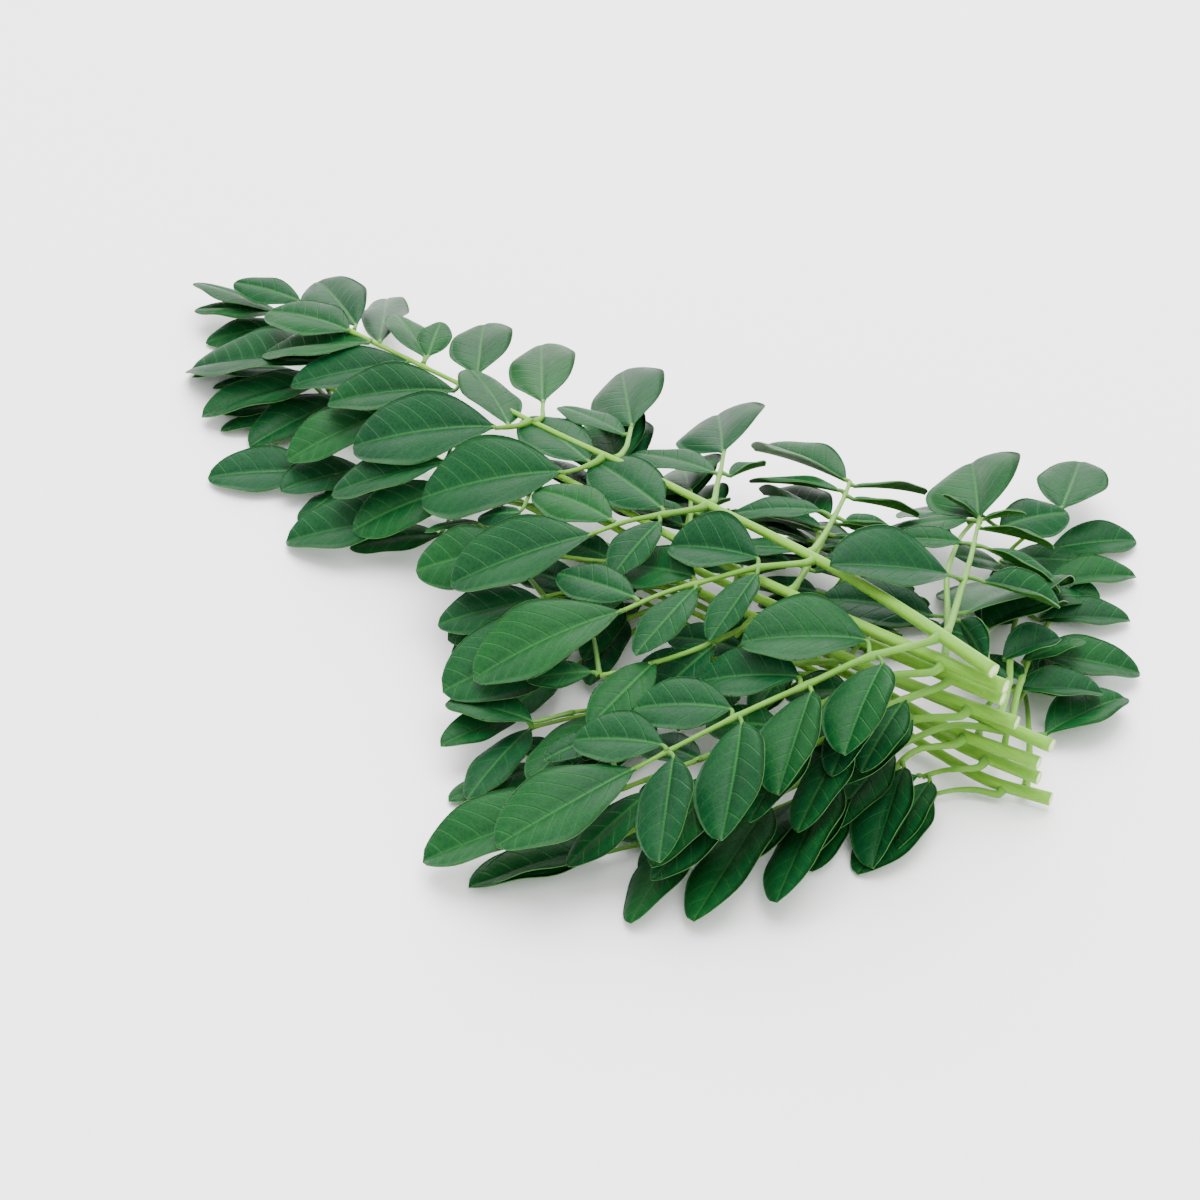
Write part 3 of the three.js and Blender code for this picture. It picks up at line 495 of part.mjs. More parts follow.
// A leaflet: a sphere of four meridians whose rings become the sections of a
// folded blade, from inside the stalk to the tip.
function leaflet(row, grow) {
  const A = new THREE.Vector3(row[0], row[1], row[2]);
  const B = new THREE.Vector3(row[3], row[4], row[5]);
  const T = new THREE.Vector3(row[6], row[7], row[8]);
  const dU = new THREE.Vector3(row[9], row[10], row[11]);
  const dL = new THREE.Vector3(row[12], row[13], row[14]);
  const h = row[15], end = row[16] === 1;
  const axis = T.clone().sub(B), len = axis.length();
  axis.normalize();
  const normal = dL.clone().sub(dU).cross(axis).normalize();
  if (normal.z < 0) normal.negate();
  const rings = [];
  const root = A.distanceTo(B) > 0.6 ? A.clone().sub(B).normalize() : axis.clone().negate();
  rings.push({ c: A.clone().addScaledVector(root, 0.12), w: PETIOLULE_RADIUS + grow, n: PETIOLULE_RADIUS + grow });
  for (const t of STATIONS) {
    const c = B.clone().lerp(T, t);
    c.z += ARCH * len * 4 * t * (1 - t);
    rings.push({ c, w: h * profile(t, end) + grow, n: LEAF_THICKNESS / 2 * (1 - 0.3 * t) + grow * 1.3 });
  }
  const g = new THREE.SphereGeometry(1, 4, rings.length + 1);
  const pos = g.attributes.position;
  for (let i = 0; i < pos.count; i++) {
    const x = pos.getX(i), y = pos.getY(i), z = pos.getZ(i);
    const k = Math.round(Math.acos(Math.max(-1, Math.min(1, y))) / Math.PI * (rings.length + 1));
    let p;
    if (k === 0) p = rings[0].c.clone().addScaledVector(root, 0.2 + grow);
    else if (k === rings.length + 1) p = T.clone().addScaledVector(axis, grow);
    else {
      const r = rings[k - 1];
      p = r.c.clone();
      if (Math.abs(x) > Math.abs(z)) p.addScaledVector(x < 0 ? dU : dL, r.w);
      else p.addScaledVector(normal, z > 0 ? r.n : -r.n);
    }
    pos.setXYZ(i, p.x, p.y, p.z);
  }
  return toSolid(g);
}

// A stem or stalk: a polygon extruded along its centre line, then tapered ring
// by ring.
function stalk(path, r, sides, grow) {
  const pts = path.map((p) => new THREE.Vector3(...p));
  if (grow > 0) {
    const a = pts[0].clone().sub(pts[1]).normalize(), b = pts[pts.length - 1].clone().sub(pts[pts.length - 2]).normalize();
    pts[0].addScaledVector(a, grow); pts[pts.length - 1].addScaledVector(b, grow);
  }
  const curve = new THREE.CatmullRomCurve3(pts);
  const shape = new THREE.Shape();
  for (let i = 0; i < sides; i++) {
    const a = 2 * Math.PI * (i + 0.5) / sides;
    if (i === 0) shape.moveTo(Math.cos(a), Math.sin(a)); else shape.lineTo(Math.cos(a), Math.sin(a));
  }
  shape.closePath();
  const steps = pts.length - 1;
  const g = new THREE.ExtrudeGeometry(shape, { steps, bevelEnabled: false, extrudePath: curve });
  const centres = curve.getSpacedPoints(steps);
  const pos = g.attributes.position, v = new THREE.Vector3(), c = new THREE.Vector3();
  for (let i = 0; i < pos.count; i++) {
    v.fromBufferAttribute(pos, i);
    let k = 0, best = 1e9;
    centres.forEach((q, j) => { const d = Math.abs(q.distanceTo(v) - 1); if (d < best) { best = d; k = j; } });
    c.copy(centres[k]);
    const rad = r[0] + (r[1] - r[0]) * k / steps + grow;
    v.sub(c).multiplyScalar(rad).add(c);
    pos.setXYZ(i, v.x, v.y, v.z);
  }
  return toSolid(g);
}

function largest(solid) {
  const parts = solid.decompose();
  return parts.reduce((a, b) => (b.volume() > a.volume() ? b : a));
}

function piece(stems, leaflets, sides, grow) {
  const solids = stems.map((s, i) => stalk(s.path, s.r, i === 0 ? sides : STALK_SIDES, grow));
  for (const row of leaflets) solids.push(leaflet(row, grow));
  return wasm.Manifold.union(solids).simplify(0.04);
}

// ---- pieces -----------------------------------------------------------------
const pieces = [];
for (const frond of FRONDS) {
  const joined = frond.pinnae.filter((p) => p.joined);
  const stemRows = frond.stem.leaflets.concat(...joined.map((p) => p.leaflets));
  pieces.push({ name: frond.name + '_stem', stems: [frond.stem, ...joined], rows: stemRows, sides: STEM_SIDES });
  for (const p of frond.pinnae) {
    if (!p.joined) pieces.push({ name: p.name, stems: [p], rows: p.leaflets, sides: STALK_SIDES });
  }
}

const GREEN_STEM = 0x8fc050, GREEN_LEAF = 0x2f7038;
const group = new THREE.Group();
group.name = 'moringa_leaf_bunch';
const kept = [];
for (const item of pieces) {
  let solid = largest(piece(item.stems, item.rows, item.sides, 0));
  const box = solid.boundingBox();
  for (const other of kept) {
    const b = other.box;
    if (b.min[0] > box.max[0] || b.max[0] < box.min[0] || b.min[1] > box.max[1] || b.max[1] < box.min[1] ||
        b.min[2] > box.max[2] || b.max[2] < box.min[2]) continue;
    if (solid.intersect(other.solid).volume() > 1e-3) solid = solid.subtract(other.fat);
  }
  solid = largest(solid);
  const fat = piece(item.stems, item.rows, item.sides, CLEARANCE);
  kept.push({ solid, fat, box: fat.boundingBox() });
  solid = largest(solid.simplify(0.04));
  const m = solid.getMesh();
  const geometry = new THREE.BufferGeometry();
  const n = m.numProp, count = m.vertProperties.length / n;
  const xyz = new Float32Array(count * 3);
  for (let i = 0; i < count; i++) for (let j = 0; j < 3; j++) xyz[3 * i + j] = m.vertProperties[n * i + j];
  geometry.setAttribute('position', new THREE.BufferAttribute(xyz, 3));
  geometry.setIndex(new THREE.BufferAttribute(new Uint32Array(m.triVerts), 1));
  geometry.computeVertexNormals();
  const isStem = item.name.endsWith('_stem');
  const material = new THREE.MeshStandardMaterial({ color: isStem ? GREEN_STEM : GREEN_LEAF, roughness: isStem ? 0.5 : 0.45, metalness: 0 });
  const mesh = new THREE.Mesh(geometry, material);
  mesh.name = item.name;
  group.add(mesh);
}

export default group;
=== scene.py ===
"""Looks of the moringa leaf bunch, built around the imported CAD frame."""

import math
import random

import bpy
import numpy as np
from mathutils import Matrix, Vector


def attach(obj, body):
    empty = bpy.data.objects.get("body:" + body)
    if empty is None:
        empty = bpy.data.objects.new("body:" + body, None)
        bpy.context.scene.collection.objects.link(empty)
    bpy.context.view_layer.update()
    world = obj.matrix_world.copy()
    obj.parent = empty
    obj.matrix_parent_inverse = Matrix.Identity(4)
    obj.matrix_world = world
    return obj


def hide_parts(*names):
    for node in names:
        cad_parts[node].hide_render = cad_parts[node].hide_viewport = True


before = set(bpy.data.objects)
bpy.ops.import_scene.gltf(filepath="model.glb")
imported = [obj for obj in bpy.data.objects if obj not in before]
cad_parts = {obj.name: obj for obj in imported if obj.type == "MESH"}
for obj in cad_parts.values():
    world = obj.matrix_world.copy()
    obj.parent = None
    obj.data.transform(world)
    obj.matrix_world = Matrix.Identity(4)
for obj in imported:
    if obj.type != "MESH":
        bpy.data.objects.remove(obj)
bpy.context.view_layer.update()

# ---- layout, the same pieces as the CAD, in millimetres ---------------------
# stem and pinna: name, radii at start and end, centre line.
# leaflet: attachment, blade base, blade tip, direction of each half blade,
# half width, 1 for an end leaflet.
FRONDS = [
 {"name": "frond1",
  "stem": {"r": [1.38, 0.42], "path": [[106.11,-6.61,29.76],[89.39,-4.98,30.06],[72.68,-3.32,29.72],[55.89,-2.77,29.01],[39.13,-2.25,27.8],[22.4,-1.55,26.49],[5.66,-1.59,25.07],[-10.96,-0.33,23.16],[-27.34,2.35,20.48],[-43.84,4.34,17.91],[-60.39,2.22,19.0]],
   "leaflets": [
    [-28.63,2.56,20.27,-27.32,0.08,20.37,-47.83,-14.24,14.76,-0.584,0.639,0.501,0.533,-0.829,0.167,6.77,1],
    [-45.1,4.48,17.72,-44.55,3.74,17.82,-61.84,-11.95,11.69,-0.694,0.625,0.357,0.624,-0.759,0.184,6.28,1],
    [-55.01,3.23,18.73,-54.1,1.9,18.83,-77.0,-6.16,10.04,-0.373,0.919,0.13,0.268,-0.948,0.17,6.71,1],
    [-60.39,2.22,19.0,-59.85,1.76,19.19,-82.24,-0.6,15.26,-0.131,0.979,0.156,0.11,-0.993,-0.031,5.94,0],
    [-59.32,2.42,18.95,-60.71,4.32,19.13,-86.52,16.05,13.76,0.336,0.886,0.319,-0.384,-0.912,-0.144,6.63,0],
    [-25.61,2.07,20.77,-27.84,6.52,21.12,-44.03,23.12,18.26,-0.701,-0.704,-0.114,0.64,0.684,0.35,6.58,0],
    [-40.98,4.0,18.36,-42.42,6.03,18.87,-59.96,14.58,17.26,0.437,0.834,-0.337,-0.433,-0.815,0.385,5.09,0],
    [-40.98,4.0,18.36,-42.29,6.69,18.87,-49.07,16.32,19.66,-0.818,-0.571,-0.073,0.809,0.579,-0.101,3.42,0],
    [-52.85,3.64,18.63,-53.01,3.78,18.73,-86.33,34.09,2.51,-0.66,-0.75,-0.046,0.615,0.769,0.174,4.82,0],
   ]},
  "pinnae": [
   {"name": "frond1_left_pinna_1", "joined": False, "r": [0.72, 0.36], "path": [[93.88,-7.79,29.73],[88.22,-16.42,28.0],[84.29,-25.86,25.75],[80.39,-35.27,23.56],[76.94,-44.91,21.24],[73.07,-54.05,18.12]],
    "leaflets": [
     [88.48,-15.9,28.12,85.19,-13.06,28.22,68.86,-24.95,25.26,-0.585,0.702,0.407,0.543,-0.805,0.238,8.57,0],
     [88.94,-14.99,28.33,91.45,-16.23,28.43,97.47,-31.9,22.26,-0.936,-0.27,-0.228,0.755,0.032,0.655,6.89,0],
     [83.73,-26.89,25.5,81.87,-25.4,25.6,64.23,-30.25,17.4,-0.428,0.778,0.46,0.234,-0.97,0.07,6.34,0],
     [84.23,-25.97,25.73,86.13,-27.09,25.83,94.37,-43.67,19.26,-0.899,-0.335,-0.282,0.668,0.037,0.744,6.85,0],
     [79.4,-38.25,22.86,77.57,-36.65,22.96,63.83,-44.65,19.76,-0.529,0.751,0.394,0.517,-0.85,-0.096,5.7,0],
     [79.79,-37.23,23.11,81.44,-38.28,23.21,93.44,-55.53,16.76,-0.82,-0.428,-0.38,0.68,0.21,0.703,6.8,0],
     [75.71,-49.04,20.21,73.88,-48.58,20.31,60.62,-55.06,17.26,-0.476,0.792,0.383,0.435,-0.9,0.023,5.67,0],
     [75.71,-49.04,20.21,77.29,-49.4,20.31,88.29,-63.85,14.26,-0.804,-0.449,-0.39,0.701,0.256,0.665,5.53,0],
     [73.07,-54.05,18.12,73.16,-54.14,18.22,65.96,-77.19,11.76,-0.944,0.228,0.237,0.896,-0.355,0.268,8.1,1],
    ]},
   {"name": "frond1_left_pinna_2", "joined": False, "r": [0.62, 0.36], "path": [[65.03,-4.89,29.32],[58.99,-10.05,27.89],[53.73,-15.86,25.77],[49.17,-22.25,23.97],[46.38,-29.74,22.56]],
    "leaflets": [
     [59.01,-10.04,27.9,57.03,-8.27,28.0,41.76,-13.42,25.26,-0.344,0.672,0.656,0.293,-0.945,0.143,6.99,0],
     [59.01,-10.04,27.9,60.16,-11.7,28.0,62.67,-25.64,22.76,-0.985,-0.168,-0.025,0.875,-0.024,0.484,4.19,0],
     [51.85,-17.82,24.9,50.48,-16.66,25.0,31.84,-15.97,17.59,-0.158,0.865,0.477,0.031,-0.985,-0.17,5.31,0],
     [51.85,-17.82,24.9,52.89,-18.72,25.0,54.44,-34.6,20.26,-0.992,-0.064,-0.109,0.965,0.015,0.264,4.33,0],
     [47.5,-26.77,23.31,45.82,-26.32,23.41,28.87,-27.62,20.26,-0.13,0.942,0.309,0.12,-0.961,-0.248,4.5,0],
     [46.38,-29.74,22.56,46.44,-30.28,22.66,34.2,-52.47,13.76,-0.875,0.346,0.339,0.836,-0.525,0.16,8.44,1],
    ]},
   {"name": "frond1_left_pinna_3", "joined": False, "r": [0.62, 0.36], "path": [[39.72,-3.94,27.75],[35.32,-8.49,26.51],[31.06,-13.18,25.22],[28.04,-18.55,23.76]],
    "leaflets": [
     [35.47,-8.32,26.56,33.98,-7.35,26.66,12.74,-2.82,24.26,0.174,0.952,0.251,-0.174,-0.952,-0.251,5.87,0],
     [34.81,-9.06,26.36,36.52,-10.47,26.46,37.73,-23.4,21.76,-0.99,-0.12,0.075,0.949,-0.025,0.314,4.33,0],
     [29.73,-14.38,24.86,28.58,-14.44,24.96,9.28,-14.2,21.76,-0.019,0.982,0.187,0.019,-0.982,-0.187,5.09,0],
     [28.04,-18.55,23.76,28.36,-18.87,23.86,12.51,-37.73,14.76,-0.785,0.46,0.415,0.736,-0.669,0.106,8.57,1],
    ]},
   {"name": "frond1_left_pinna_4", "joined": False, "r": [0.62, 0.36], "path": [[14.21,-3.25,25.36],[13.41,-5.31,24.8],[12.25,-7.23,24.34],[10.92,-9.05,23.96]],
    "leaflets": [
     [13.81,-4.64,24.96,12.62,-4.21,25.06,-8.81,0.93,22.26,0.227,0.973,0.049,-0.227,-0.973,-0.049,5.77,0],
     [10.92,-9.05,23.96,10.8,-8.93,24.06,-10.4,-23.82,15.26,-0.629,0.61,0.482,0.589,-0.806,-0.057,9.51,1],
    ]},
   {"name": "frond1_left_pinna_5", "joined": True, "r": [0.62, 0.36], "path": [[-5.46,-1.23,24.06],[-5.96,-3.39,23.87],[-7.66,-4.92,23.42],[-9.54,-6.22,22.96]],
    "leaflets": [
     [-7.53,-4.83,23.46,-8.15,-4.24,23.56,-28.59,5.18,22.26,0.411,0.845,-0.341,-0.411,-0.845,0.341,5.86,0],
     [-9.54,-6.22,22.96,-9.67,-6.09,23.06,-31.54,-21.96,15.96,-0.61,0.621,0.491,0.602,-0.795,-0.077,9.12,1],
    ]},
   {"name": "frond1_right_pinna_1", "joined": False, "r": [0.72, 0.36], "path": [[94.19,-3.62,29.7],[89.64,4.14,27.65],[84.93,11.8,25.56],[80.29,19.52,23.57],[75.51,27.06,21.26],[70.61,34.37,18.49],[65.82,41.64,15.42]],
    "leaflets": [
     [83.18,14.69,24.81,83.17,10.19,28.36,71.7,-6.8,32.96,-0.68,0.58,0.448,0.827,-0.479,0.293,7.99,0],
     [82.12,16.45,24.36,85.59,17.47,24.46,94.54,26.97,18.76,-0.49,0.739,0.463,0.74,-0.356,0.57,4.66,0],
     [73.96,29.37,20.41,76.69,30.2,20.55,89.48,34.34,15.76,-0.293,0.955,0.043,0.435,-0.428,0.792,3.71,0],
     [73.96,29.37,20.41,72.23,28.31,20.55,62.44,21.42,19.76,-0.552,0.74,0.384,0.542,-0.801,0.255,3.12,0],
     [65.82,41.64,15.42,64.23,40.46,15.65,58.01,27.51,16.76,-0.884,0.404,-0.233,0.874,-0.395,0.282,3.75,0],
     [67.96,38.39,16.79,68.62,38.52,16.99,80.19,44.83,15.26,-0.492,0.852,-0.181,0.345,-0.399,0.85,3.46,0],
     [65.82,41.64,15.42,65.02,42.61,15.65,57.39,41.59,17.26,-0.178,0.953,-0.245,0.242,-0.534,0.811,2.05,0],
     [65.82,41.64,15.42,65.93,42.61,15.65,71.33,47.96,16.76,-0.699,0.714,-0.041,0.245,-0.428,0.87,2.0,0],
     [65.82,41.64,15.42,65.22,42.36,15.65,51.08,58.18,13.56,-0.651,-0.637,-0.414,0.553,0.574,0.604,9.41,1],
    ]},
   {"name": "frond1_right_pinna_2", "joined": False, "r": [0.62, 0.36], "path": [[63.31,-1.23,29.24],[59.93,5.91,27.68],[56.08,12.83,25.99],[52.16,19.7,24.28],[47.97,26.46,22.76]],
    "leaflets": [
     [56.82,11.53,26.32,53.73,11.59,26.42,39.63,4.83,22.26,-0.448,0.892,0.069,0.36,-0.901,0.242,4.21,0],
     [50.72,22.03,23.76,49.19,21.72,23.86,31.89,17.82,19.26,-0.158,0.962,-0.222,0.027,-0.811,0.585,4.76,0],
     [47.97,26.46,22.76,47.01,26.2,22.86,22.81,29.2,16.76,0.069,0.975,0.209,-0.258,-0.68,0.687,6.54,0],
     [56.33,12.4,26.1,58.6,12.58,26.2,62.56,21.36,21.76,-0.848,0.488,0.208,0.807,-0.067,0.586,2.76,0],
     [51.27,21.15,23.96,53.12,21.2,24.06,59.41,32.03,18.26,-0.889,0.418,-0.185,0.751,-0.085,0.655,3.59,0],
     [48.52,25.57,22.96,49.6,25.63,23.06,54.43,40.15,16.76,-0.938,0.184,-0.295,0.778,0.013,0.628,4.3,1],
    ]},
   {"name": "frond1_right_pinna_3", "joined": False, "r": [0.62, 0.36], "path": [[40.03,-0.67,27.73],[35.46,5.04,26.34],[31.03,10.89,25.03],[26.44,16.62,23.76]],
    "leaflets": [
     [32.8,8.51,25.56,31.81,8.19,25.66,13.16,6.75,21.76,-0.066,0.997,-0.051,0.032,-0.978,0.207,4.97,0],
     [32.13,9.41,25.36,34.26,9.71,25.46,34.05,19.26,23.26,-0.999,-0.011,0.051,0.548,0.2,0.813,2.55,0],
     [26.44,16.62,23.76,26.42,16.38,23.86,11.82,30.87,18.76,-0.588,-0.721,-0.367,0.524,0.699,0.486,8.71,1],
    ]},
   {"name": "frond1_right_pinna_4", "joined": False, "r": [0.62, 0.36], "path": [[16.51,-0.2,25.87],[14.45,3.63,25.24],[11.71,7.08,24.54],[8.95,10.5,23.76]],
    "leaflets": [
     [11.07,7.87,24.36,10.47,7.13,24.46,-6.45,7.4,22.82,0.04,0.968,-0.249,-0.044,-0.955,0.292,4.42,0],
     [8.95,10.5,23.76,8.71,11.0,23.86,-12.31,29.73,18.26,-0.487,-0.702,-0.519,0.552,0.737,0.391,8.12,1],
    ]},
   {"name": "frond1_right_pinna_5", "joined": True, "r": [0.62, 0.36], "path": [[-4.42,-1.26,24.16],[-4.81,1.25,24.08],[-6.87,3.34,23.67],[-8.93,5.42,23.26]],
    "leaflets": [
     [-8.93,5.42,23.26,-9.31,5.8,23.36,-31.03,26.45,17.76,-0.635,-0.734,-0.242,0.635,0.734,0.242,6.87,1],
    ]},
  ]},
 {"name": "frond2",
  "stem": {"r": [1.38, 0.42], "path": [[107.34,-4.64,26.16],[86.16,-7.73,26.12],[64.8,-9.33,25.41],[43.44,-9.82,24.17],[22.12,-8.1,22.57],[0.74,-7.19,20.86],[-20.59,-6.46,18.75],[-41.67,-5.06,15.37],[-62.57,-1.31,12.28]],
   "leaflets": [
    [-62.57,-1.31,12.28,-62.44,-1.41,12.38,-95.21,-11.76,0.66,-0.392,0.854,0.342,0.209,-0.945,0.249,9.44,1],
    [3.85,-7.38,21.12,11.63,-20.14,21.22,3.44,-22.76,17.26,-0.369,0.916,0.156,0.427,-0.845,-0.322,2.46,0],
    [-62.57,-1.31,12.28,-85.06,9.9,12.38,-99.83,4.65,12.76,-0.325,0.929,0.175,0.319,-0.915,-0.247,4.08,0],
    [-19.69,-6.44,18.87,-12.22,-16.34,18.97,-29.06,-29.63,10.26,-0.681,0.671,0.294,0.578,-0.808,0.115,6.02,1],
   ]},
  "pinnae": [
   {"name": "frond2_left_pinna_1", "joined": False, "r": [0.72, 0.36], "path": [[96.07,-8.91,25.4],[89.0,-15.21,23.62],[85.24,-24.59,21.01],[81.8,-34.16,18.67],[77.41,-43.39,16.52],[72.49,-52.23,13.96],[67.69,-61.18,11.56]],
    "leaflets": [
     [82.85,-31.24,19.38,83.34,-31.21,19.48,70.88,-35.08,15.26,-0.395,0.82,0.414,0.369,-0.887,-0.276,3.7,0],
     [77.51,-43.18,16.57,77.69,-43.77,16.67,63.74,-43.55,12.26,-0.044,0.981,0.188,-0.009,-1.0,-0.02,3.81,0],
     [87.16,-19.66,22.34,87.66,-19.39,22.44,77.26,-22.94,18.26,-0.443,0.783,0.436,0.351,-0.933,-0.08,3.72,0],
     [88.28,-16.96,23.12,90.55,-17.91,23.22,95.61,-32.48,17.26,-0.933,-0.202,-0.298,0.904,0.15,0.399,4.3,0],
     [84.63,-26.3,20.59,86.73,-27.43,20.69,90.92,-46.28,13.26,-0.908,-0.037,-0.417,0.862,-0.008,0.506,5.38,0],
     [79.65,-38.69,17.61,82.81,-41.15,17.71,84.32,-61.44,9.26,-0.951,0.056,-0.304,0.927,-0.083,0.365,5.73,0],
     [73.21,-50.98,14.34,75.74,-53.13,14.44,72.88,-68.55,6.76,-0.965,0.235,-0.114,0.954,-0.254,0.156,4.54,0],
     [67.69,-61.18,11.56,67.79,-61.95,11.66,53.12,-81.51,3.36,-0.818,0.475,0.325,0.68,-0.652,0.335,8.03,0],
     [71.23,-54.5,13.31,59.09,-47.65,13.41,56.35,-57.47,12.26,-0.942,0.235,0.238,0.961,-0.273,0.043,2.67,1],
    ]},
   {"name": "frond2_left_pinna_2", "joined": False, "r": [0.62, 0.36], "path": [[66.22,-10.93,24.62],[63.76,-18.63,22.37],[60.32,-25.98,20.13],[55.97,-32.95,18.3],[51.04,-39.6,16.76]],
    "leaflets": [
     [56.25,-32.53,18.41,56.39,-32.09,18.51,57.22,-48.08,14.26,-0.993,-0.076,0.092,0.99,0.013,0.143,4.53,0],
     [61.43,-23.71,20.82,62.37,-24.05,20.92,56.38,-35.52,9.25,-0.939,0.228,0.258,0.915,-0.394,-0.082,4.58,0],
     [51.04,-39.6,16.76,49.43,-39.86,16.86,41.87,-47.55,15.26,-0.711,0.636,0.301,0.72,-0.682,-0.127,2.83,0],
     [51.04,-39.6,16.76,40.52,-31.47,16.86,28.57,-54.52,9.26,-0.876,0.343,0.338,0.885,-0.466,0.02,8.92,1],
    ]},
   {"name": "frond2_left_pinna_3", "joined": False, "r": [0.62, 0.36], "path": [[39.31,-8.82,22.37],[34.33,-10.89,18.13],[28.89,-14.92,16.55],[23.33,-19.3,16.77],[17.72,-23.63,17.36]],
    "leaflets": [
     [32.88,-11.56,17.18,33.4,-12.1,17.28,36.89,-27.86,14.76,-0.966,-0.184,-0.184,0.943,0.161,0.292,4.25,0],
     [29.05,-14.78,16.57,28.91,-14.5,16.67,17.66,-16.23,16.26,-0.155,0.925,0.347,0.156,-0.974,-0.163,3.24,0],
     [17.72,-23.63,17.36,15.7,-24.12,17.46,1.85,-36.47,11.76,-0.691,0.57,0.445,0.701,-0.642,-0.312,6.28,1],
    ]},
   {"name": "frond2_right_pinna_1", "joined": False, "r": [0.72, 0.36], "path": [[95.13,-4.97,25.92],[89.09,3.37,23.1],[82.69,11.49,20.6],[75.96,19.71,19.93],[70.48,28.55,17.63],[65.43,37.43,14.46],[61.85,47.27,12.3]],
    "leaflets": [
     [84.63,9.24,20.92,82.75,7.59,21.02,66.79,-2.38,21.26,-0.479,0.776,0.412,0.53,-0.848,0.012,5.8,0],
     [85.81,7.68,21.5,87.31,9.05,21.6,98.31,2.1,22.26,0.038,-0.035,-0.999,0.206,0.411,0.888,3.39,0],
     [84.03,10.02,20.63,86.01,12.61,20.73,75.38,50.69,0.66,-0.921,-0.349,-0.174,0.764,0.455,0.458,11.53,0],
     [61.85,47.27,12.3,67.19,46.32,12.5,70.65,62.28,9.76,-0.934,0.247,0.258,0.883,-0.258,-0.391,4.6,0],
     [63.64,42.34,13.38,61.85,42.8,13.58,43.31,49.16,3.15,0.336,0.942,-0.024,-0.364,-0.928,0.083,5.77,0],
     [67.88,33.13,16.0,66.76,33.06,16.16,50.3,35.37,9.61,0.109,0.991,0.076,-0.2,-0.966,0.163,4.64,1],
    ]},
   {"name": "frond2_right_pinna_2", "joined": False, "r": [0.62, 0.34], "path": [[64.72,-7.54,25.29],[61.86,-1.1,24.24],[58.66,5.17,23.11],[55.38,11.41,21.97],[51.87,17.55,20.95]],
    "leaflets": [
     [58.77,4.95,23.15,56.63,3.96,23.25,45.07,-1.46,20.85,-0.441,0.895,0.069,0.352,-0.905,0.24,3.44,0],
     [53.98,13.85,21.56,52.89,13.17,21.66,38.57,11.05,18.81,-0.084,0.972,-0.221,-0.035,-0.812,0.582,3.89,0],
     [51.87,17.55,20.95,51.08,17.24,21.05,30.81,22.94,13.71,0.215,0.955,0.205,-0.359,-0.634,0.685,5.65,0],
     [59.23,4.07,23.31,61.02,4.69,23.41,65.33,11.82,21.02,-0.784,0.586,0.206,0.798,-0.165,0.579,2.39,0],
     [55.04,12.0,21.87,56.39,12.58,21.97,62.65,20.98,18.38,-0.836,0.517,-0.182,0.741,-0.173,0.649,3.01,0],
     [52.4,16.62,21.1,53.38,16.65,21.2,56.6,29.76,12.02,-0.95,0.108,-0.293,0.779,0.076,0.623,3.8,1],
    ]},
   {"name": "frond2_right_pinna_3", "joined": False, "r": [0.62, 0.34], "path": [[41.76,-8.13,23.97],[37.23,-3.57,23.05],[32.87,1.18,22.18],[28.37,5.8,21.34]],
    "leaflets": [
     [34.39,-0.51,22.48,33.91,-1.26,22.58,18.76,-5.16,19.29,-0.238,0.97,-0.053,0.201,-0.957,0.207,4.16,0],
     [34.39,-0.51,22.48,35.94,0.29,22.58,35.65,8.35,21.69,-0.999,-0.026,0.042,0.551,0.212,0.807,2.16,0],
     [28.37,5.8,21.34,28.47,5.5,21.44,15.47,17.94,14.76,-0.574,-0.732,-0.367,0.51,0.709,0.486,7.56,1],
    ]},
   {"name": "frond2_right_pinna_4", "joined": True, "r": [0.62, 0.34], "path": [[18.28,-7.98,22.28],[17.06,-3.64,21.48],[14.26,0.09,20.09],[11.54,3.63,18.15]],
    "leaflets": [
     [13.46,1.12,19.53,12.99,0.34,19.68,-2.63,4.21,18.41,0.278,0.918,-0.283,-0.282,-0.905,0.319,4.25,0],
     [11.54,3.63,18.15,11.43,4.0,18.33,-7.82,20.56,16.49,-0.474,-0.711,-0.519,0.538,0.747,0.391,7.28,1],
    ]},
  ]},
 {"name": "frond3",
  "stem": {"r": [1.3, 0.42], "path": [[106.13,-3.35,22.36],[84.82,-6.56,22.28],[63.46,-9.05,21.38],[42.06,-8.78,19.03],[20.53,-8.93,18.34],[-0.93,-8.25,17.0],[-22.34,-7.65,15.23],[-43.46,-6.12,11.76],[-63.46,-1.03,5.76]],
   "leaflets": [
    [-63.46,-1.03,5.76,-64.94,1.55,5.86,-78.01,-22.18,1.9,-0.866,0.437,0.242,0.78,-0.494,0.384,7.12,1],
    [-63.46,-1.03,5.76,-93.32,9.63,6.52,-113.98,5.04,6.93,-0.202,0.871,-0.448,0.21,-0.917,0.34,5.5,0],
    [-63.46,-1.03,5.76,-91.95,9.83,6.52,-108.89,0.73,4.26,-0.454,0.88,-0.14,0.438,-0.87,0.225,5.03,0],
    [-39.35,-6.63,12.59,-40.07,-5.94,12.72,-47.71,-24.93,6.76,-0.887,0.231,0.4,0.911,-0.4,0.106,6.59,0],
   ]},
  "pinnae": [
   {"name": "frond3_left_pinna_1", "joined": False, "r": [0.72, 0.36], "path": [[96.54,-6.74,21.72],[91.87,-15.05,19.34],[88.54,-24.12,16.86],[85.15,-33.19,14.51],[81.21,-41.96,12.01],[76.38,-49.89,8.38],[71.36,-57.2,3.84]],
    "leaflets": [
     [79.2,-45.28,10.52,79.61,-45.61,10.62,69.14,-48.57,8.26,-0.327,0.875,0.356,0.307,-0.931,-0.196,3.32,0],
     [93.01,-12.24,20.16,93.56,-12.5,20.26,97.02,-26.76,15.56,-0.955,-0.148,-0.256,0.925,0.104,0.366,4.01,0],
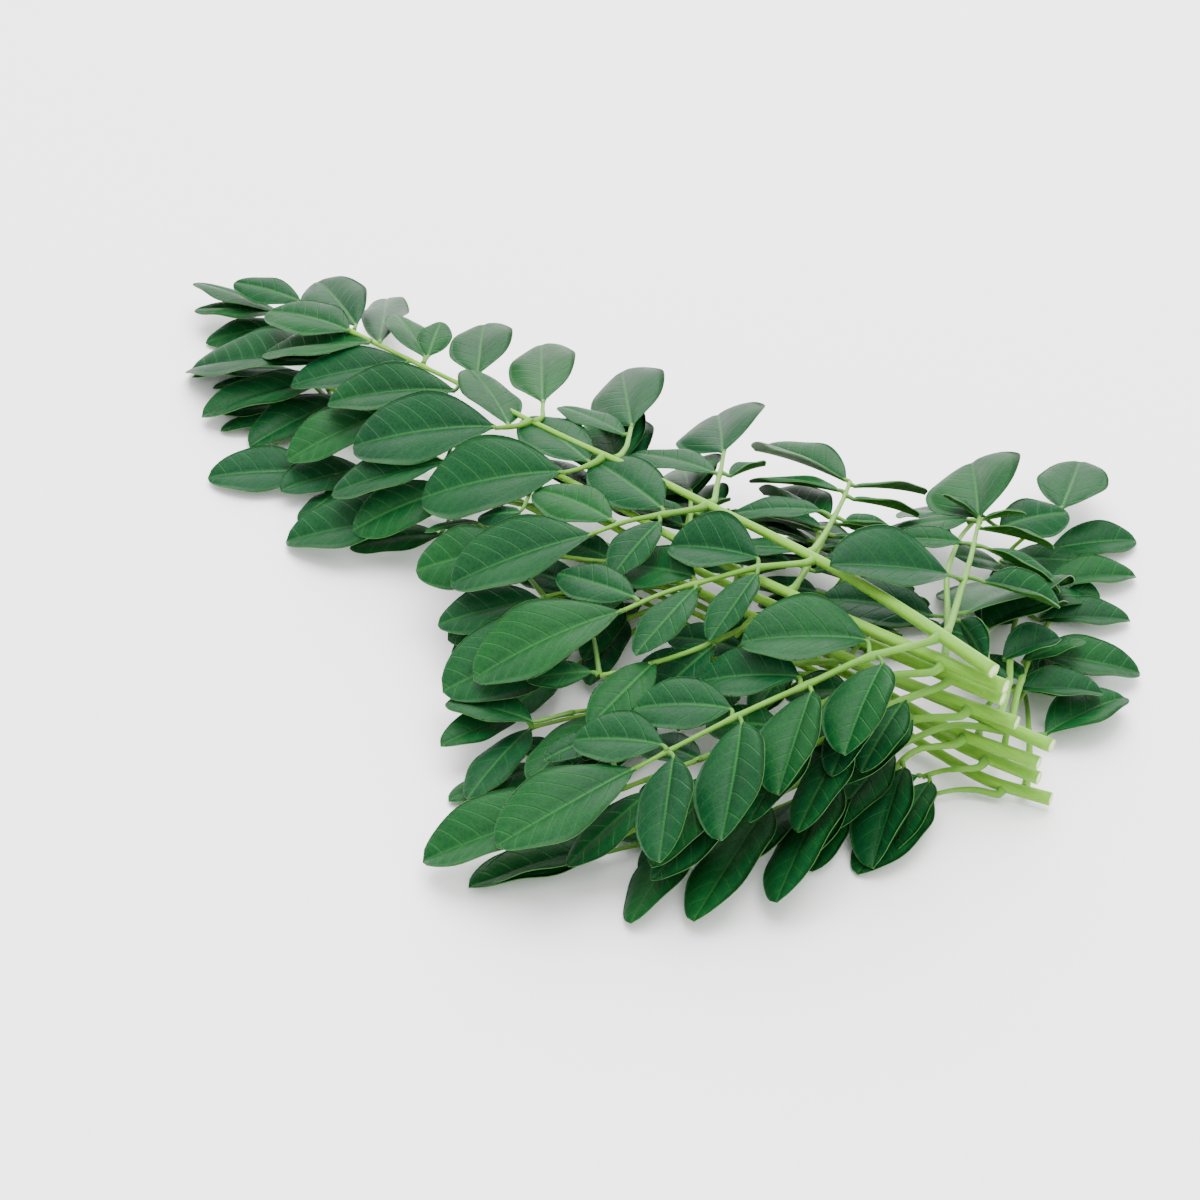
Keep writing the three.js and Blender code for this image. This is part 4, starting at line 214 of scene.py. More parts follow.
     [89.15,-22.38,17.32,91.49,-23.41,17.42,96.71,-41.4,11.76,-0.895,-0.124,-0.429,0.862,0.093,0.498,5.09,0],
     [81.71,-41.13,12.38,85.02,-43.33,12.48,84.5,-61.58,6.76,-0.953,0.115,-0.279,0.953,-0.115,0.279,4.98,0],
     [71.36,-57.2,3.84,72.59,-58.89,3.94,61.28,-77.47,0.66,-0.856,0.496,0.145,0.642,-0.494,0.587,5.72,0],
     [86.88,-28.84,15.6,83.93,-26.85,15.7,78.28,-34.47,14.76,-0.774,0.531,0.346,0.805,-0.592,-0.043,3.34,1],
    ]},
   {"name": "frond3_left_pinna_2", "joined": False, "r": [0.62, 0.36], "path": [[64.92,-10.62,20.89],[62.83,-18.46,17.46],[58.26,-23.17,11.93],[53.06,-28.45,7.73],[49.36,-35.61,7.18],[49.35,-43.78,10.58]],
    "leaflets": [
     [55.68,-25.12,8.85,55.77,-25.22,8.95,49.65,-35.84,11.42,-0.75,0.525,0.401,0.81,-0.526,-0.258,3.87,0],
     [62.27,-20.13,16.7,62.6,-20.0,16.8,66.55,-34.23,12.76,-0.962,-0.223,-0.156,0.942,0.181,0.284,3.98,0],
     [62.9,-18.23,17.56,63.59,-18.65,17.66,50.8,-23.11,15.76,-0.354,0.846,0.397,0.338,-0.939,-0.068,3.86,0],
     [49.36,-37.98,8.16,50.45,-38.54,8.26,56.05,-60.15,9.26,-0.931,-0.253,-0.264,0.909,0.251,0.333,5.81,0],
     [51.26,-30.74,6.96,51.61,-30.61,7.06,55.42,-47.48,5.94,-0.962,-0.205,-0.18,0.94,0.194,0.281,4.51,0],
     [49.35,-43.78,10.58,46.43,-50.65,10.68,29.99,-54.95,8.15,-0.271,0.952,0.144,0.214,-0.95,0.227,4.47,1],
    ]},
   {"name": "frond3_left_pinna_3", "joined": False, "r": [0.62, 0.36], "path": [[38.5,-9.63,17.46],[32.85,-14.23,14.55],[28.6,-20.7,13.72],[26.16,-28.19,14.28]],
    "leaflets": [
     [34.96,-12.68,15.37,35.19,-12.65,15.47,14.85,-3.41,7.47,0.472,0.857,-0.209,-0.49,-0.819,0.298,6.17,0],
     [30.59,-16.98,13.94,31.41,-17.0,14.04,33.42,-30.48,11.76,-0.983,-0.162,0.09,0.989,0.148,-0.001,3.59,0],
     [28.17,-21.51,13.67,28.46,-21.94,13.77,14.02,-23.87,11.76,-0.166,0.942,0.292,0.151,-0.977,-0.15,3.82,0],
     [26.16,-28.19,14.28,26.28,-29.51,14.38,13.43,-41.89,8.76,-0.718,0.554,0.422,0.704,-0.709,-0.047,5.19,0],
     [26.16,-28.19,14.28,1.49,-20.56,14.38,-4.94,-28.14,12.76,-0.714,0.657,-0.241,0.666,-0.645,0.375,2.62,1],
    ]},
   {"name": "frond3_left_pinna_4", "joined": False, "r": [0.62, 0.36], "path": [[10.2,-9.32,16.63],[4.95,-12.58,15.94],[-1.03,-13.97,15.02],[-7.14,-15.01,14.16]],
    "leaflets": [
     [-7.14,-15.01,14.16,-9.45,-16.6,14.26,-20.59,-32.05,7.26,-0.815,0.395,0.425,0.836,-0.501,-0.225,5.47,1],
    ]},
   {"name": "frond3_right_pinna_1", "joined": False, "r": [0.72, 0.36], "path": [[102.18,-2.38,21.24],[93.43,8.71,18.14],[85.24,19.53,12.52],[77.2,30.6,7.2],[69.43,42.11,2.4],[63.25,55.01,0.63],[68.08,63.38,8.89]],
    "leaflets": [
     [88.95,14.63,15.07,88.99,14.39,15.28,82.86,9.14,17.76,-0.485,0.766,0.421,0.608,-0.78,-0.147,2.71,0],
     [74.64,34.39,5.62,74.96,33.38,6.2,62.25,36.68,0.66,0.158,0.965,0.212,-0.254,-0.967,0.007,3.71,0],
     [64.74,51.13,0.63,64.71,51.03,0.73,62.99,39.24,7.76,-0.912,0.3,0.28,0.967,-0.218,-0.129,3.6,0],
     [83.93,21.26,11.63,84.24,21.31,11.89,82.73,45.01,3.99,-0.997,-0.046,0.054,0.795,0.237,0.558,6.51,0],
     [64.37,52.09,0.63,64.11,51.78,0.73,76.06,62.97,0.66,-0.675,0.722,0.154,0.683,-0.73,-0.04,4.26,0],
     [68.08,63.38,8.89,68.23,63.78,8.99,59.22,81.51,6.76,-0.889,-0.456,-0.033,0.877,0.462,0.13,6.57,0],
     [72.49,37.58,4.29,75.33,38.23,4.78,82.81,54.61,0.66,-0.914,0.386,-0.125,0.909,-0.364,0.204,4.8,1],
    ]},
   {"name": "frond3_right_pinna_2", "joined": False, "r": [0.62, 0.34], "path": [[63.38,-7.33,21.39],[60.01,-0.87,20.34],[56.36,5.42,19.13],[52.65,11.67,17.86],[48.71,17.78,16.61]],
    "leaflets": [
     [56.53,5.14,19.19,54.37,4.01,19.29,40.9,-1.79,16.91,-0.412,0.909,0.069,0.323,-0.915,0.24,3.95,0],
     [51.1,14.07,17.37,50.01,13.31,17.47,34.09,10.58,14.54,-0.107,0.969,-0.221,-0.017,-0.813,0.582,4.34,0],
     [48.71,17.78,16.61,47.92,17.41,16.71,25.21,17.89,7.0,-0.031,0.978,0.205,-0.188,-0.704,0.685,6.09,0],
     [57.05,4.26,19.37,58.86,5.0,19.47,61.12,12.91,16.24,-0.91,0.36,0.206,0.814,0.05,0.579,2.36,0],
     [52.3,12.22,17.75,53.65,12.89,17.85,58.18,22.61,14.03,-0.924,0.337,-0.182,0.76,-0.019,0.649,3.08,0],
     [49.31,16.85,16.8,50.32,16.93,16.9,55.92,29.92,10.64,-0.919,0.263,-0.293,0.78,-0.054,0.623,3.98,1],
    ]},
   {"name": "frond3_right_pinna_3", "joined": False, "r": [0.62, 0.34], "path": [[40.07,-8.97,20.29],[35.69,-3.33,19.18],[31.27,2.32,18.21],[26.71,7.85,17.28]],
    "leaflets": [
     [32.98,0.1,18.59,32.12,-0.33,18.69,14.0,-1.07,15.95,-0.029,0.998,-0.053,-0.005,-0.978,0.207,4.82,0],
     [32.98,0.1,18.59,34.47,1.17,18.69,33.87,10.17,17.63,-0.998,-0.056,0.042,0.544,0.229,0.807,2.41,0],
     [26.71,7.85,17.28,26.79,7.51,17.38,11.49,19.41,11.01,-0.495,-0.787,-0.367,0.435,0.758,0.486,8.15,1],
    ]},
   {"name": "frond3_right_pinna_4", "joined": True, "r": [0.62, 0.34], "path": [[17.06,-8.97,18.18],[15.77,-4.65,17.62],[13.23,-0.78,16.28],[10.75,2.92,14.44]],
    "leaflets": [
     [12.54,0.25,15.77,12.0,-0.52,15.93,-6.45,2.56,13.41,0.206,0.937,-0.283,-0.21,-0.924,0.319,4.94,0],
     [10.75,2.92,14.44,10.66,3.3,14.63,-5.93,22.87,13.39,-0.58,-0.628,-0.519,0.649,0.653,0.391,7.35,1],
    ]},
  ]},
 {"name": "frond4",
  "stem": {"r": [1.3, 0.42], "path": [[108.68,-2.43,18.36],[87.33,-7.11,18.23],[65.43,-9.17,17.44],[43.87,-7.86,14.02],[23.95,-1.62,7.04],[2.44,-1.79,5.96],[-17.71,-7.87,10.71],[-39.32,-7.34,8.41],[-59.63,-1.96,2.25]],
   "leaflets": [
    [-59.63,-1.96,2.25,-62.39,1.76,2.67,-64.32,-21.25,0.66,-0.939,0.049,0.339,0.958,-0.103,0.267,6.02,0],
    [-59.63,-1.96,2.25,-92.28,12.46,2.67,-101.67,-2.47,0.66,-0.846,0.513,0.146,0.848,-0.529,-0.036,4.62,0],
    [-59.63,-1.96,2.25,-76.4,1.83,2.67,-93.07,-12.93,0.66,-0.625,0.74,-0.25,0.574,-0.705,0.417,5.81,1],
    [-59.63,-1.96,2.25,-75.51,1.08,2.67,-86.71,-12.58,0.66,-0.748,0.639,-0.18,0.712,-0.629,0.312,4.62,0],
   ]},
  "pinnae": [
   {"name": "frond4_left_pinna_1", "joined": False, "r": [0.72, 0.36], "path": [[100.73,-6.76,17.75],[93.43,-11.76,15.34],[88.82,-18.61,10.64],[86.1,-26.89,7.94],[83.84,-35.91,6.65],[79.52,-44.01,4.39],[73.55,-50.67,1.17]],
    "leaflets": [
     [74.18,-49.97,1.51,74.6,-50.6,1.77,61.89,-50.91,0.66,-0.043,0.973,0.226,0.019,-0.998,0.057,3.74,0],
     [81.84,-40.12,5.61,81.7,-40.64,5.75,70.48,-44.79,5.76,-0.33,0.891,0.311,0.346,-0.937,0.054,4.09,0],
     [89.55,-17.38,11.42,89.89,-17.38,11.62,78.19,-17.5,9.26,-0.079,0.936,0.342,0.032,-0.993,-0.11,3.4,0],
     [94.07,-10.92,15.96,94.48,-11.43,16.06,93.42,-27.6,11.26,-0.996,0.044,0.073,0.869,-0.192,0.457,5.56,0],
     [86.59,-23.22,8.26,89.96,-24.64,8.53,100.63,-50.3,5.26,-0.748,-0.232,-0.622,0.689,0.198,0.698,7.27,0],
     [84.46,-34.59,6.97,85.38,-35.66,7.08,92.8,-60.71,2.96,-0.873,-0.184,-0.452,0.793,0.137,0.593,6.88,0],
     [79.26,-44.31,4.24,78.08,-43.8,4.43,85.45,-67.18,1.96,-0.817,-0.2,-0.54,0.787,0.186,0.588,6.4,0],
     [73.55,-50.67,1.17,70.52,-57.94,1.44,60.38,-78.37,0.66,-0.895,0.442,0.063,0.776,-0.404,0.485,5.93,0],
     [85.89,-28.51,7.8,82.7,-27.42,8.02,76.61,-35.73,8.26,-0.751,0.56,0.35,0.805,-0.588,0.079,3.37,1],
    ]},
   {"name": "frond4_left_pinna_2", "joined": False, "r": [0.62, 0.36], "path": [[57.83,-10.98,16.05],[56.04,-17.66,11.19],[52.94,-24.56,7.21],[49.59,-31.94,5.05],[46.32,-39.86,5.78],[43.22,-47.65,6.11]],
    "leaflets": [
     [55.54,-18.94,10.16,56.09,-19.45,10.26,44.06,-22.87,6.26,-0.377,0.819,0.433,0.348,-0.894,-0.282,3.54,0],
     [43.22,-47.65,6.11,43.34,-48.46,6.21,46.76,-65.86,3.33,-0.965,-0.154,-0.213,0.943,0.134,0.304,4.67,0],
     [43.22,-47.65,6.11,39.63,-47.23,6.21,35.61,-61.56,5.63,-0.918,0.245,0.312,0.907,-0.268,0.325,4.23,0],
     [48.52,-34.54,5.29,50.75,-36.93,5.39,54.84,-52.72,2.26,-0.958,-0.209,-0.195,0.905,0.155,0.397,4.32,1],
    ]},
   {"name": "frond4_left_pinna_3", "joined": False, "r": [0.62, 0.36], "path": [[33.36,-6.04,11.12],[30.62,-12.9,13.7],[27.77,-20.17,12.28],[23.43,-26.8,11.52]],
    "leaflets": [
     [30.93,-12.04,13.87,31.21,-12.82,13.97,6.91,-0.71,1.55,0.531,0.81,-0.25,-0.542,-0.788,0.293,7.76,0],
     [23.43,-26.8,11.52,22.72,-28.54,11.62,15.35,-41.4,6.26,-0.867,0.347,0.358,0.883,-0.41,-0.23,4.41,0],
     [27.7,-20.28,12.26,29.8,-22.06,12.36,31.19,-34.35,8.76,-0.987,-0.136,0.083,0.986,0.067,0.151,3.58,1],
    ]},
   {"name": "frond4_left_pinna_4", "joined": False, "r": [0.62, 0.36], "path": [[-6.51,-7.21,10.24],[-5.01,-11.61,11.43],[-8.97,-15.86,10.17],[-13.33,-19.53,8.49]],
    "leaflets": [
     [-6.87,-13.6,10.84,-6.29,-13.42,10.94,-19.5,-13.95,8.26,-0.108,0.93,0.351,0.077,-0.979,-0.187,3.51,0],
     [-13.33,-19.53,8.49,-12.98,-19.84,8.59,-34.18,-37.22,0.66,-0.663,0.613,0.43,0.589,-0.792,0.159,7.42,1],
    ]},
   {"name": "frond4_right_pinna_1", "joined": False, "r": [0.72, 0.36], "path": [[105.0,-1.84,17.83],[98.55,8.76,15.42],[91.55,18.49,11.1],[84.92,28.23,6.26],[78.3,37.98,1.41],[72.53,49.15,0.63],[67.52,60.86,0.63]],
    "leaflets": [
     [98.93,8.25,15.63,99.13,7.97,15.79,89.26,8.18,13.26,-0.035,0.976,0.217,-0.008,-0.999,-0.049,2.65,0],
     [77.75,38.79,1.01,77.98,38.53,1.12,70.54,36.43,1.01,-0.255,0.884,0.393,0.271,-0.959,-0.081,2.68,0],
     [71.92,50.38,0.63,71.95,50.66,0.73,65.34,47.31,0.66,-0.413,0.806,0.425,0.451,-0.887,-0.094,2.53,0],
     [92.52,17.06,11.81,91.85,16.08,12.09,95.91,26.33,13.26,-0.809,0.261,0.527,0.714,-0.352,0.605,4.55,0],
     [75.9,42.27,0.63,80.47,42.63,0.73,92.02,53.88,0.66,-0.636,0.655,0.409,0.622,-0.635,0.457,4.54,0],
     [71.48,51.28,0.63,74.66,51.6,0.73,84.66,65.73,0.66,-0.748,0.531,0.398,0.718,-0.505,0.479,5.05,0],
     [67.52,60.86,0.63,68.26,61.4,0.73,77.75,75.18,0.66,-0.751,0.519,0.408,0.81,-0.557,0.184,5.14,1],
    ]},
   {"name": "frond4_right_pinna_2", "joined": False, "r": [0.62, 0.34], "path": [[66.91,-7.36,17.4],[64.42,-0.45,16.32],[61.47,6.28,15.05],[58.47,12.97,13.67],[55.22,19.52,12.2]],
    "leaflets": [
     [61.57,6.07,15.1,59.29,5.19,15.2,46.44,1.74,11.73,-0.277,0.958,0.069,0.188,-0.952,0.24,3.58,0],
     [57.18,15.57,13.09,56.0,14.93,13.19,41.11,12.18,10.08,-0.12,0.968,-0.221,-0.006,-0.813,0.582,4.07,0],
     [55.22,19.52,12.2,54.39,19.25,12.3,31.92,24.98,4.88,0.191,0.96,0.205,-0.343,-0.643,0.685,6.22,0],
     [61.99,5.14,15.29,63.87,5.67,15.39,68.22,13.3,13.02,-0.799,0.566,0.206,0.802,-0.145,0.579,2.52,0],
     [58.15,13.59,13.53,59.58,14.11,13.63,65.63,24.34,9.1,-0.887,0.425,-0.182,0.755,-0.093,0.649,3.42,0],
     [55.71,18.53,12.42,56.72,18.5,12.52,62.35,30.81,9.69,-0.913,0.284,-0.293,0.779,-0.071,0.623,3.81,1],
    ]},
   {"name": "frond4_right_pinna_3", "joined": False, "r": [0.62, 0.34], "path": [[43.18,-8.54,15.25],[38.31,-4.23,13.66],[33.89,0.61,12.13],[29.14,5.55,13.37]],
    "leaflets": [
     [35.48,-1.16,12.18,34.71,-1.62,12.28,19.08,-2.94,4.69,-0.073,0.996,-0.053,0.038,-0.978,0.207,4.17,0],
     [35.48,-1.16,12.18,36.78,-0.06,12.28,35.75,8.38,12.44,-0.993,-0.11,0.042,0.531,0.258,0.807,2.27,0],
     [29.14,5.55,13.37,29.24,5.24,13.47,16.98,18.12,9.77,-0.607,-0.705,-0.367,0.542,0.685,0.486,7.48,1],
    ]},
  ]},
 {"name": "frond5",
  "stem": {"r": [1.3, 0.42], "path": [[113.63,0.87,14.56],[93.85,-1.73,14.24],[74.01,-4.47,13.5],[54.06,-5.1,11.67],[35.0,-1.48,6.94],[15.71,1.86,2.66],[-2.6,-1.63,5.13],[-22.34,-2.82,4.65],[-42.07,-1.73,1.21]],
   "leaflets": [
    [-42.07,-1.73,1.21,-41.43,-11.34,1.31,-45.04,-29.18,3.16,-0.871,0.222,0.438,0.979,-0.192,0.067,5.28,0],
    [-21.35,-2.8,4.72,-10.81,-19.5,5.01,-22.57,-31.41,2.16,-0.719,0.69,0.086,0.71,-0.705,0.016,4.42,0],
    [-42.07,-1.73,1.21,-66.44,-6.65,1.31,-72.9,-21.6,0.66,-0.913,0.398,-0.091,0.874,-0.39,0.29,4.24,0],
    [-42.07,-1.73,1.21,-68.46,-4.96,1.31,-77.84,-17.64,0.66,-0.758,0.576,-0.305,0.771,-0.583,0.256,4.1,0],
   ]},
  "pinnae": [
   {"name": "frond5_left_pinna_1", "joined": False, "r": [0.72, 0.36], "path": [[105.04,-0.18,13.41],[97.66,-4.56,12.84],[92.95,-11.51,10.15],[88.2,-16.95,5.06],[84.35,-23.93,1.84],[81.65,-32.22,0.9],[79.89,-40.91,1.64]],
    "leaflets": [
     [88.77,-16.35,5.69,89.38,-17.05,5.87,78.43,-20.05,5.95,-0.248,0.914,0.322,0.263,-0.964,-0.042,3.8,0],
     [81.1,-34.96,1.13,81.35,-35.28,1.25,72.64,-38.0,3.01,-0.238,0.935,0.264,0.3,-0.954,0.013,3.76,0],
     [91.76,-13.19,8.98,92.39,-13.04,9.1,94.9,-31.98,4.92,-0.987,-0.105,-0.119,0.921,0.037,0.387,5.08,0],
     [83.79,-25.32,1.51,84.06,-26.1,1.66,90.44,-50.32,4.59,-0.802,-0.188,-0.567,0.771,0.178,0.612,6.52,0],
     [86.01,-19.8,2.83,87.84,-21.06,3.05,96.68,-39.72,3.64,-0.647,-0.212,-0.732,0.689,0.238,0.684,5.4,0],
     [79.89,-40.91,1.64,79.41,-42.3,1.77,77.09,-56.6,0.66,-0.976,0.146,0.159,0.98,-0.168,0.11,3.78,1],
    ]},
   {"name": "frond5_left_pinna_3", "joined": False, "r": [0.62, 0.36], "path": [[34.81,-2.78,7.71],[31.28,-10.46,9.85],[27.22,-18.52,8.5],[23.13,-26.59,7.36]],
    "leaflets": [
     [28.14,-16.7,8.76,28.66,-17.22,8.86,15.51,-18.0,6.26,-0.128,0.919,0.374,0.087,-0.986,-0.144,3.67,0],
     [29.52,-13.95,9.24,30.77,-14.35,9.34,34.94,-27.18,4.76,-0.956,-0.268,-0.119,0.941,0.21,0.266,3.7,0],
     [23.13,-26.59,7.36,23.03,-27.71,7.46,17.02,-42.12,3.16,-0.903,0.28,0.326,0.928,-0.364,-0.079,4.42,1],
    ]},
   {"name": "frond5_right_pinna_1", "joined": False, "r": [0.72, 0.36], "path": [[104.56,1.81,13.79],[99.61,9.88,11.96],[94.96,17.9,9.34],[90.41,25.92,6.5],[86.23,34.15,3.76],[82.33,42.56,1.09],[78.68,51.42,0.63]],
    "leaflets": [
     [95.82,16.39,9.88,96.0,16.26,9.98,85.09,20.3,7.27,0.356,0.934,-0.04,-0.38,-0.909,0.174,3.1,0],
     [89.4,27.7,5.87,90.21,27.86,5.97,103.02,41.7,1.26,-0.587,0.688,0.427,0.752,-0.611,0.248,5.2,0],
     [91.87,23.35,7.41,91.02,22.97,7.51,95.57,34.62,8.26,-0.909,0.367,-0.198,0.786,-0.34,0.517,3.26,0],
     [78.68,51.42,0.63,78.38,51.8,0.73,84.33,55.26,0.66,-0.452,0.785,0.424,0.502,-0.863,-0.053,2.92,1],
    ]},
   {"name": "frond5_right_pinna_2", "joined": False, "r": [0.62, 0.34], "path": [[70.99,-3.01,13.25],[67.62,3.97,12.12],[63.76,10.7,10.81],[59.83,17.37,9.39],[55.67,23.89,7.95]],
    "leaflets": [
     [63.85,10.55,10.84,61.57,9.36,10.94,48.5,2.28,8.38,-0.492,0.868,0.069,0.404,-0.883,0.24,4.0,0],
     [58.4,19.61,8.9,57.01,19.18,9.0,41.82,14.99,7.96,-0.203,0.954,-0.221,0.065,-0.811,0.582,4.24,0],
     [55.67,23.89,7.95,54.83,23.51,8.05,30.43,24.68,1.03,-0.005,0.979,0.205,-0.207,-0.699,0.685,6.55,0],
     [64.39,9.62,11.03,66.31,10.39,11.13,70.02,18.64,6.94,-0.849,0.487,0.206,0.812,-0.068,0.579,2.6,0],
     [59.5,17.9,9.28,60.85,18.73,9.38,65.89,28.67,3.56,-0.912,0.367,-0.182,0.759,-0.044,0.649,3.2,0],
    ]},
   {"name": "frond5_right_pinna_3", "joined": False, "r": [0.62, 0.34], "path": [[47.71,-4.96,11.94],[44.19,0.52,11.11],[40.74,6.04,10.23],[37.14,11.47,9.38]],
    "leaflets": [
     [41.87,4.2,10.52,41.26,3.56,10.62,26.22,5.11,7.33,0.114,0.992,-0.053,-0.144,-0.968,0.207,4.02,0],
     [41.87,4.2,10.52,43.53,4.7,10.62,45.01,13.27,9.17,-0.983,0.179,0.042,0.583,0.094,0.807,2.32,0],
    ]},
   {"name": "frond5_left_pinna_2", "joined": False, "r": [0.62, 0.34], "path": [[72.73,-6.16,13.37],[66.84,-11.29,12.59],[61.94,-17.35,11.07],[58.47,-22.51,7.72],[56.76,-26.63,1.16]],
    "leaflets": [
     [67.56,-10.4,12.75,66.1,-8.86,12.85,52.55,-11.72,9.89,-0.268,0.705,0.657,0.18,-0.974,0.141,5.98,0],
     [67.56,-10.4,12.75,68.68,-11.78,12.85,70.35,-23.05,9.68,-0.99,-0.138,-0.023,0.876,-0.056,0.48,3.4,0],
     [61.82,-17.52,11.04,60.95,-16.34,11.14,49.37,-18.06,3.92,-0.217,0.876,0.43,0.165,-0.982,-0.097,4.18,0],
     [61.82,-17.52,11.04,62.95,-18.1,11.14,64.35,-29.77,8.6,-0.993,-0.097,-0.059,0.974,0.036,0.222,3.25,0],
    ]},
  ]},
 {"name": "frond6",
  "stem": {"r": [1.3, 0.42], "path": [[112.2,-0.11,10.76],[96.3,-3.46,10.72],[79.99,-3.04,10.11],[63.6,-3.87,9.27],[47.35,-3.66,7.52],[31.36,-1.54,4.39],[15.3,0.56,1.57],[-1.04,-0.16,1.21],[-16.99,-3.73,2.34]],
   "leaflets": [
    [-16.99,-3.73,2.34,-44.73,-18.56,2.44,-61.13,-34.21,0.94,-0.635,0.621,0.459,0.691,-0.723,-0.003,5.97,1],
    [-16.99,-3.73,2.34,-32.72,-9.99,2.44,-39.11,-24.73,0.66,-0.881,0.343,0.325,0.918,-0.39,-0.065,4.2,0],
   ]},
  "pinnae": [
   {"name": "frond6_left_pinna_1", "joined": False, "r": [0.72, 0.36], "path": [[99.55,-5.53,10.55],[95.16,-10.98,9.69],[94.06,-16.91,6.33],[91.89,-22.73,3.03]],
    "leaflets": [
     [94.69,-13.46,8.56,95.99,-14.51,8.66,104.12,-31.25,2.56,-0.894,-0.319,-0.316,0.57,-0.022,0.821,7.03,0],
     [91.89,-22.73,3.03,92.05,-24.16,3.13,96.53,-37.16,0.85,-0.824,-0.182,-0.537,0.874,0.218,0.435,3.63,1],
    ]},
   {"name": "frond6_left_pinna_3", "joined": False, "r": [0.62, 0.36], "path": [[36.21,-3.52,5.69],[34.03,-9.75,6.0],[31.29,-15.84,4.95],[29.52,-22.32,4.47],[27.96,-28.88,4.11]],
    "leaflets": [
     [30.82,-16.88,4.77,31.32,-16.88,5.03,19.29,-17.97,3.76,-0.12,0.936,0.332,0.1,-0.99,-0.096,3.68,0],
     [32.05,-14.14,5.24,32.33,-14.65,5.49,38.74,-29.75,2.76,-0.883,-0.311,-0.352,0.827,0.262,0.497,4.32,0],
     [27.96,-28.88,4.11,27.85,-29.99,4.21,23.68,-44.08,1.27,-0.931,0.214,0.294,0.96,-0.28,-0.019,4.0,1],
    ]},
   {"name": "frond6_right_pinna_1", "joined": False, "r": [0.72, 0.36], "path": [[100.78,-1.64,10.5],[97.59,3.78,9.57],[94.96,9.51,8.62],[94.57,15.72,7.36]],
    "leaflets": [
     [94.57,15.72,7.36,95.01,15.97,7.46,104.85,27.86,5.26,-0.669,0.628,0.399,0.709,-0.495,0.502,4.69,0],
     [94.57,15.72,7.36,94.32,16.85,7.46,101.06,21.73,6.76,-0.577,0.75,-0.323,0.586,-0.773,0.243,2.17,1],
    ]},
   {"name": "frond6_right_pinna_2", "joined": False, "r": [0.62, 0.34], "path": [[70.27,-2.02,9.56],[67.2,4.38,8.52],[63.73,10.49,6.96],[60.25,16.47,4.91],[56.52,22.37,3.1]],
    "leaflets": [
     [63.87,10.25,7.04,61.8,9.19,7.14,48.9,2.91,5.53,-0.453,0.889,0.069,0.365,-0.899,0.24,3.87,0],
     [58.76,18.82,4.19,57.71,18.1,4.29,43.53,14.18,2.75,-0.203,0.954,-0.221,0.065,-0.811,0.582,3.96,0],
     [64.36,9.41,7.33,66.09,10.1,7.43,68.75,17.75,4.05,-0.888,0.411,0.206,0.815,0.004,0.579,2.33,0],
     [59.89,17.04,4.73,61.18,17.67,4.83,66.01,28.14,2.81,-0.925,0.333,-0.182,0.761,-0.015,0.649,3.31,0],
    ]},
   {"name": "frond6_left_pinna_2", "joined": False, "r": [0.62, 0.34], "path": [[72.04,-4.93,9.68],[66.51,-9.52,9.04],[61.82,-15.06,8.22],[57.76,-20.62,6.7],[55.7,-25.26,1.46]],
    "leaflets": [
     [66.76,-9.21,9.08,65.33,-7.65,9.18,52.94,-11.3,3.24,-0.322,0.682,0.657,0.255,-0.957,0.141,5.57,0],
     [66.76,-9.21,9.08,67.86,-10.61,9.18,68.14,-21.66,6.43,-1.0,-0.017,-0.023,0.862,-0.162,0.48,3.3,0],
     [60.9,-16.24,8.05,60.06,-15.04,8.15,47.76,-18.48,1.95,-0.325,0.842,0.43,0.286,-0.953,-0.097,4.56,0],
    ]},
  ]},
 {"name": "frond7",
  "stem": {"r": [1.3, 0.42], "path": [[111.69,1.17,6.56],[98.33,-1.3,6.56],[84.48,-1.49,6.44],[70.66,-2.31,6.06],[56.83,-3.02,5.55],[43.0,-3.67,5.03],[29.28,-3.39,3.67],[15.69,-2.13,1.41],[1.92,-3.62,1.21]],
   "leaflets": [
    [1.92,-3.62,1.21,1.36,-4.38,1.31,-6.63,-19.72,1.56,-0.882,0.461,0.094,0.887,-0.462,0.011,4.5,0],
    [1.92,-3.62,1.21,-39.56,-19.3,1.31,-37.41,-31.11,0.66,-0.972,-0.168,-0.167,0.984,0.179,0.004,3.13,0],
   ]},
  "pinnae": [
   {"name": "frond7_left_pinna_1", "joined": False, "r": [0.72, 0.36], "path": [[102.84,-3.3,6.32],[100.68,-5.8,6.09],[97.85,-6.81,4.65],[95.8,-9.17,3.52]],
    "leaflets": [
     [96.42,-8.4,3.86,98.03,-9.87,4.17,103.47,-27.22,1.76,-0.945,-0.271,-0.181,0.721,0.132,0.68,5.6,0],
     [95.8,-9.17,3.52,95.24,-9.55,3.84,91.12,-20.55,2.56,-0.937,0.346,0.044,0.927,-0.36,0.105,3.07,1],
    ]},
   {"name": "frond7_left_pinna_3", "joined": False, "r": [0.62, 0.36], "path": [[34.66,-5.19,4.28],[33.53,-13.1,3.05],[32.44,-21.06,2.08],[31.93,-29.12,1.55]],
    "leaflets": [
     [31.93,-29.12,1.55,32.02,-30.43,1.65,33.11,-45.85,0.92,-0.997,-0.071,0.007,0.983,0.061,0.176,4.02,1],
    ]},
   {"name": "frond7_right_pinna_1", "joined": False, "r": [0.72, 0.36], "path": [[105.11,0.53,6.24],[100.7,6.45,5.38],[97.14,13.01,4.68],[94.16,19.84,4.21],[92.17,27.06,3.76]],
    "leaflets": [
     [92.17,27.06,3.76,92.25,26.95,3.86,92.94,42.58,0.66,-0.999,0.038,-0.03,0.972,0.005,0.234,4.15,0],
     [93.93,20.68,4.16,93.49,20.28,4.26,95.04,33.38,2.76,-0.983,0.099,-0.153,0.925,-0.066,0.375,3.45,1],
    ]},
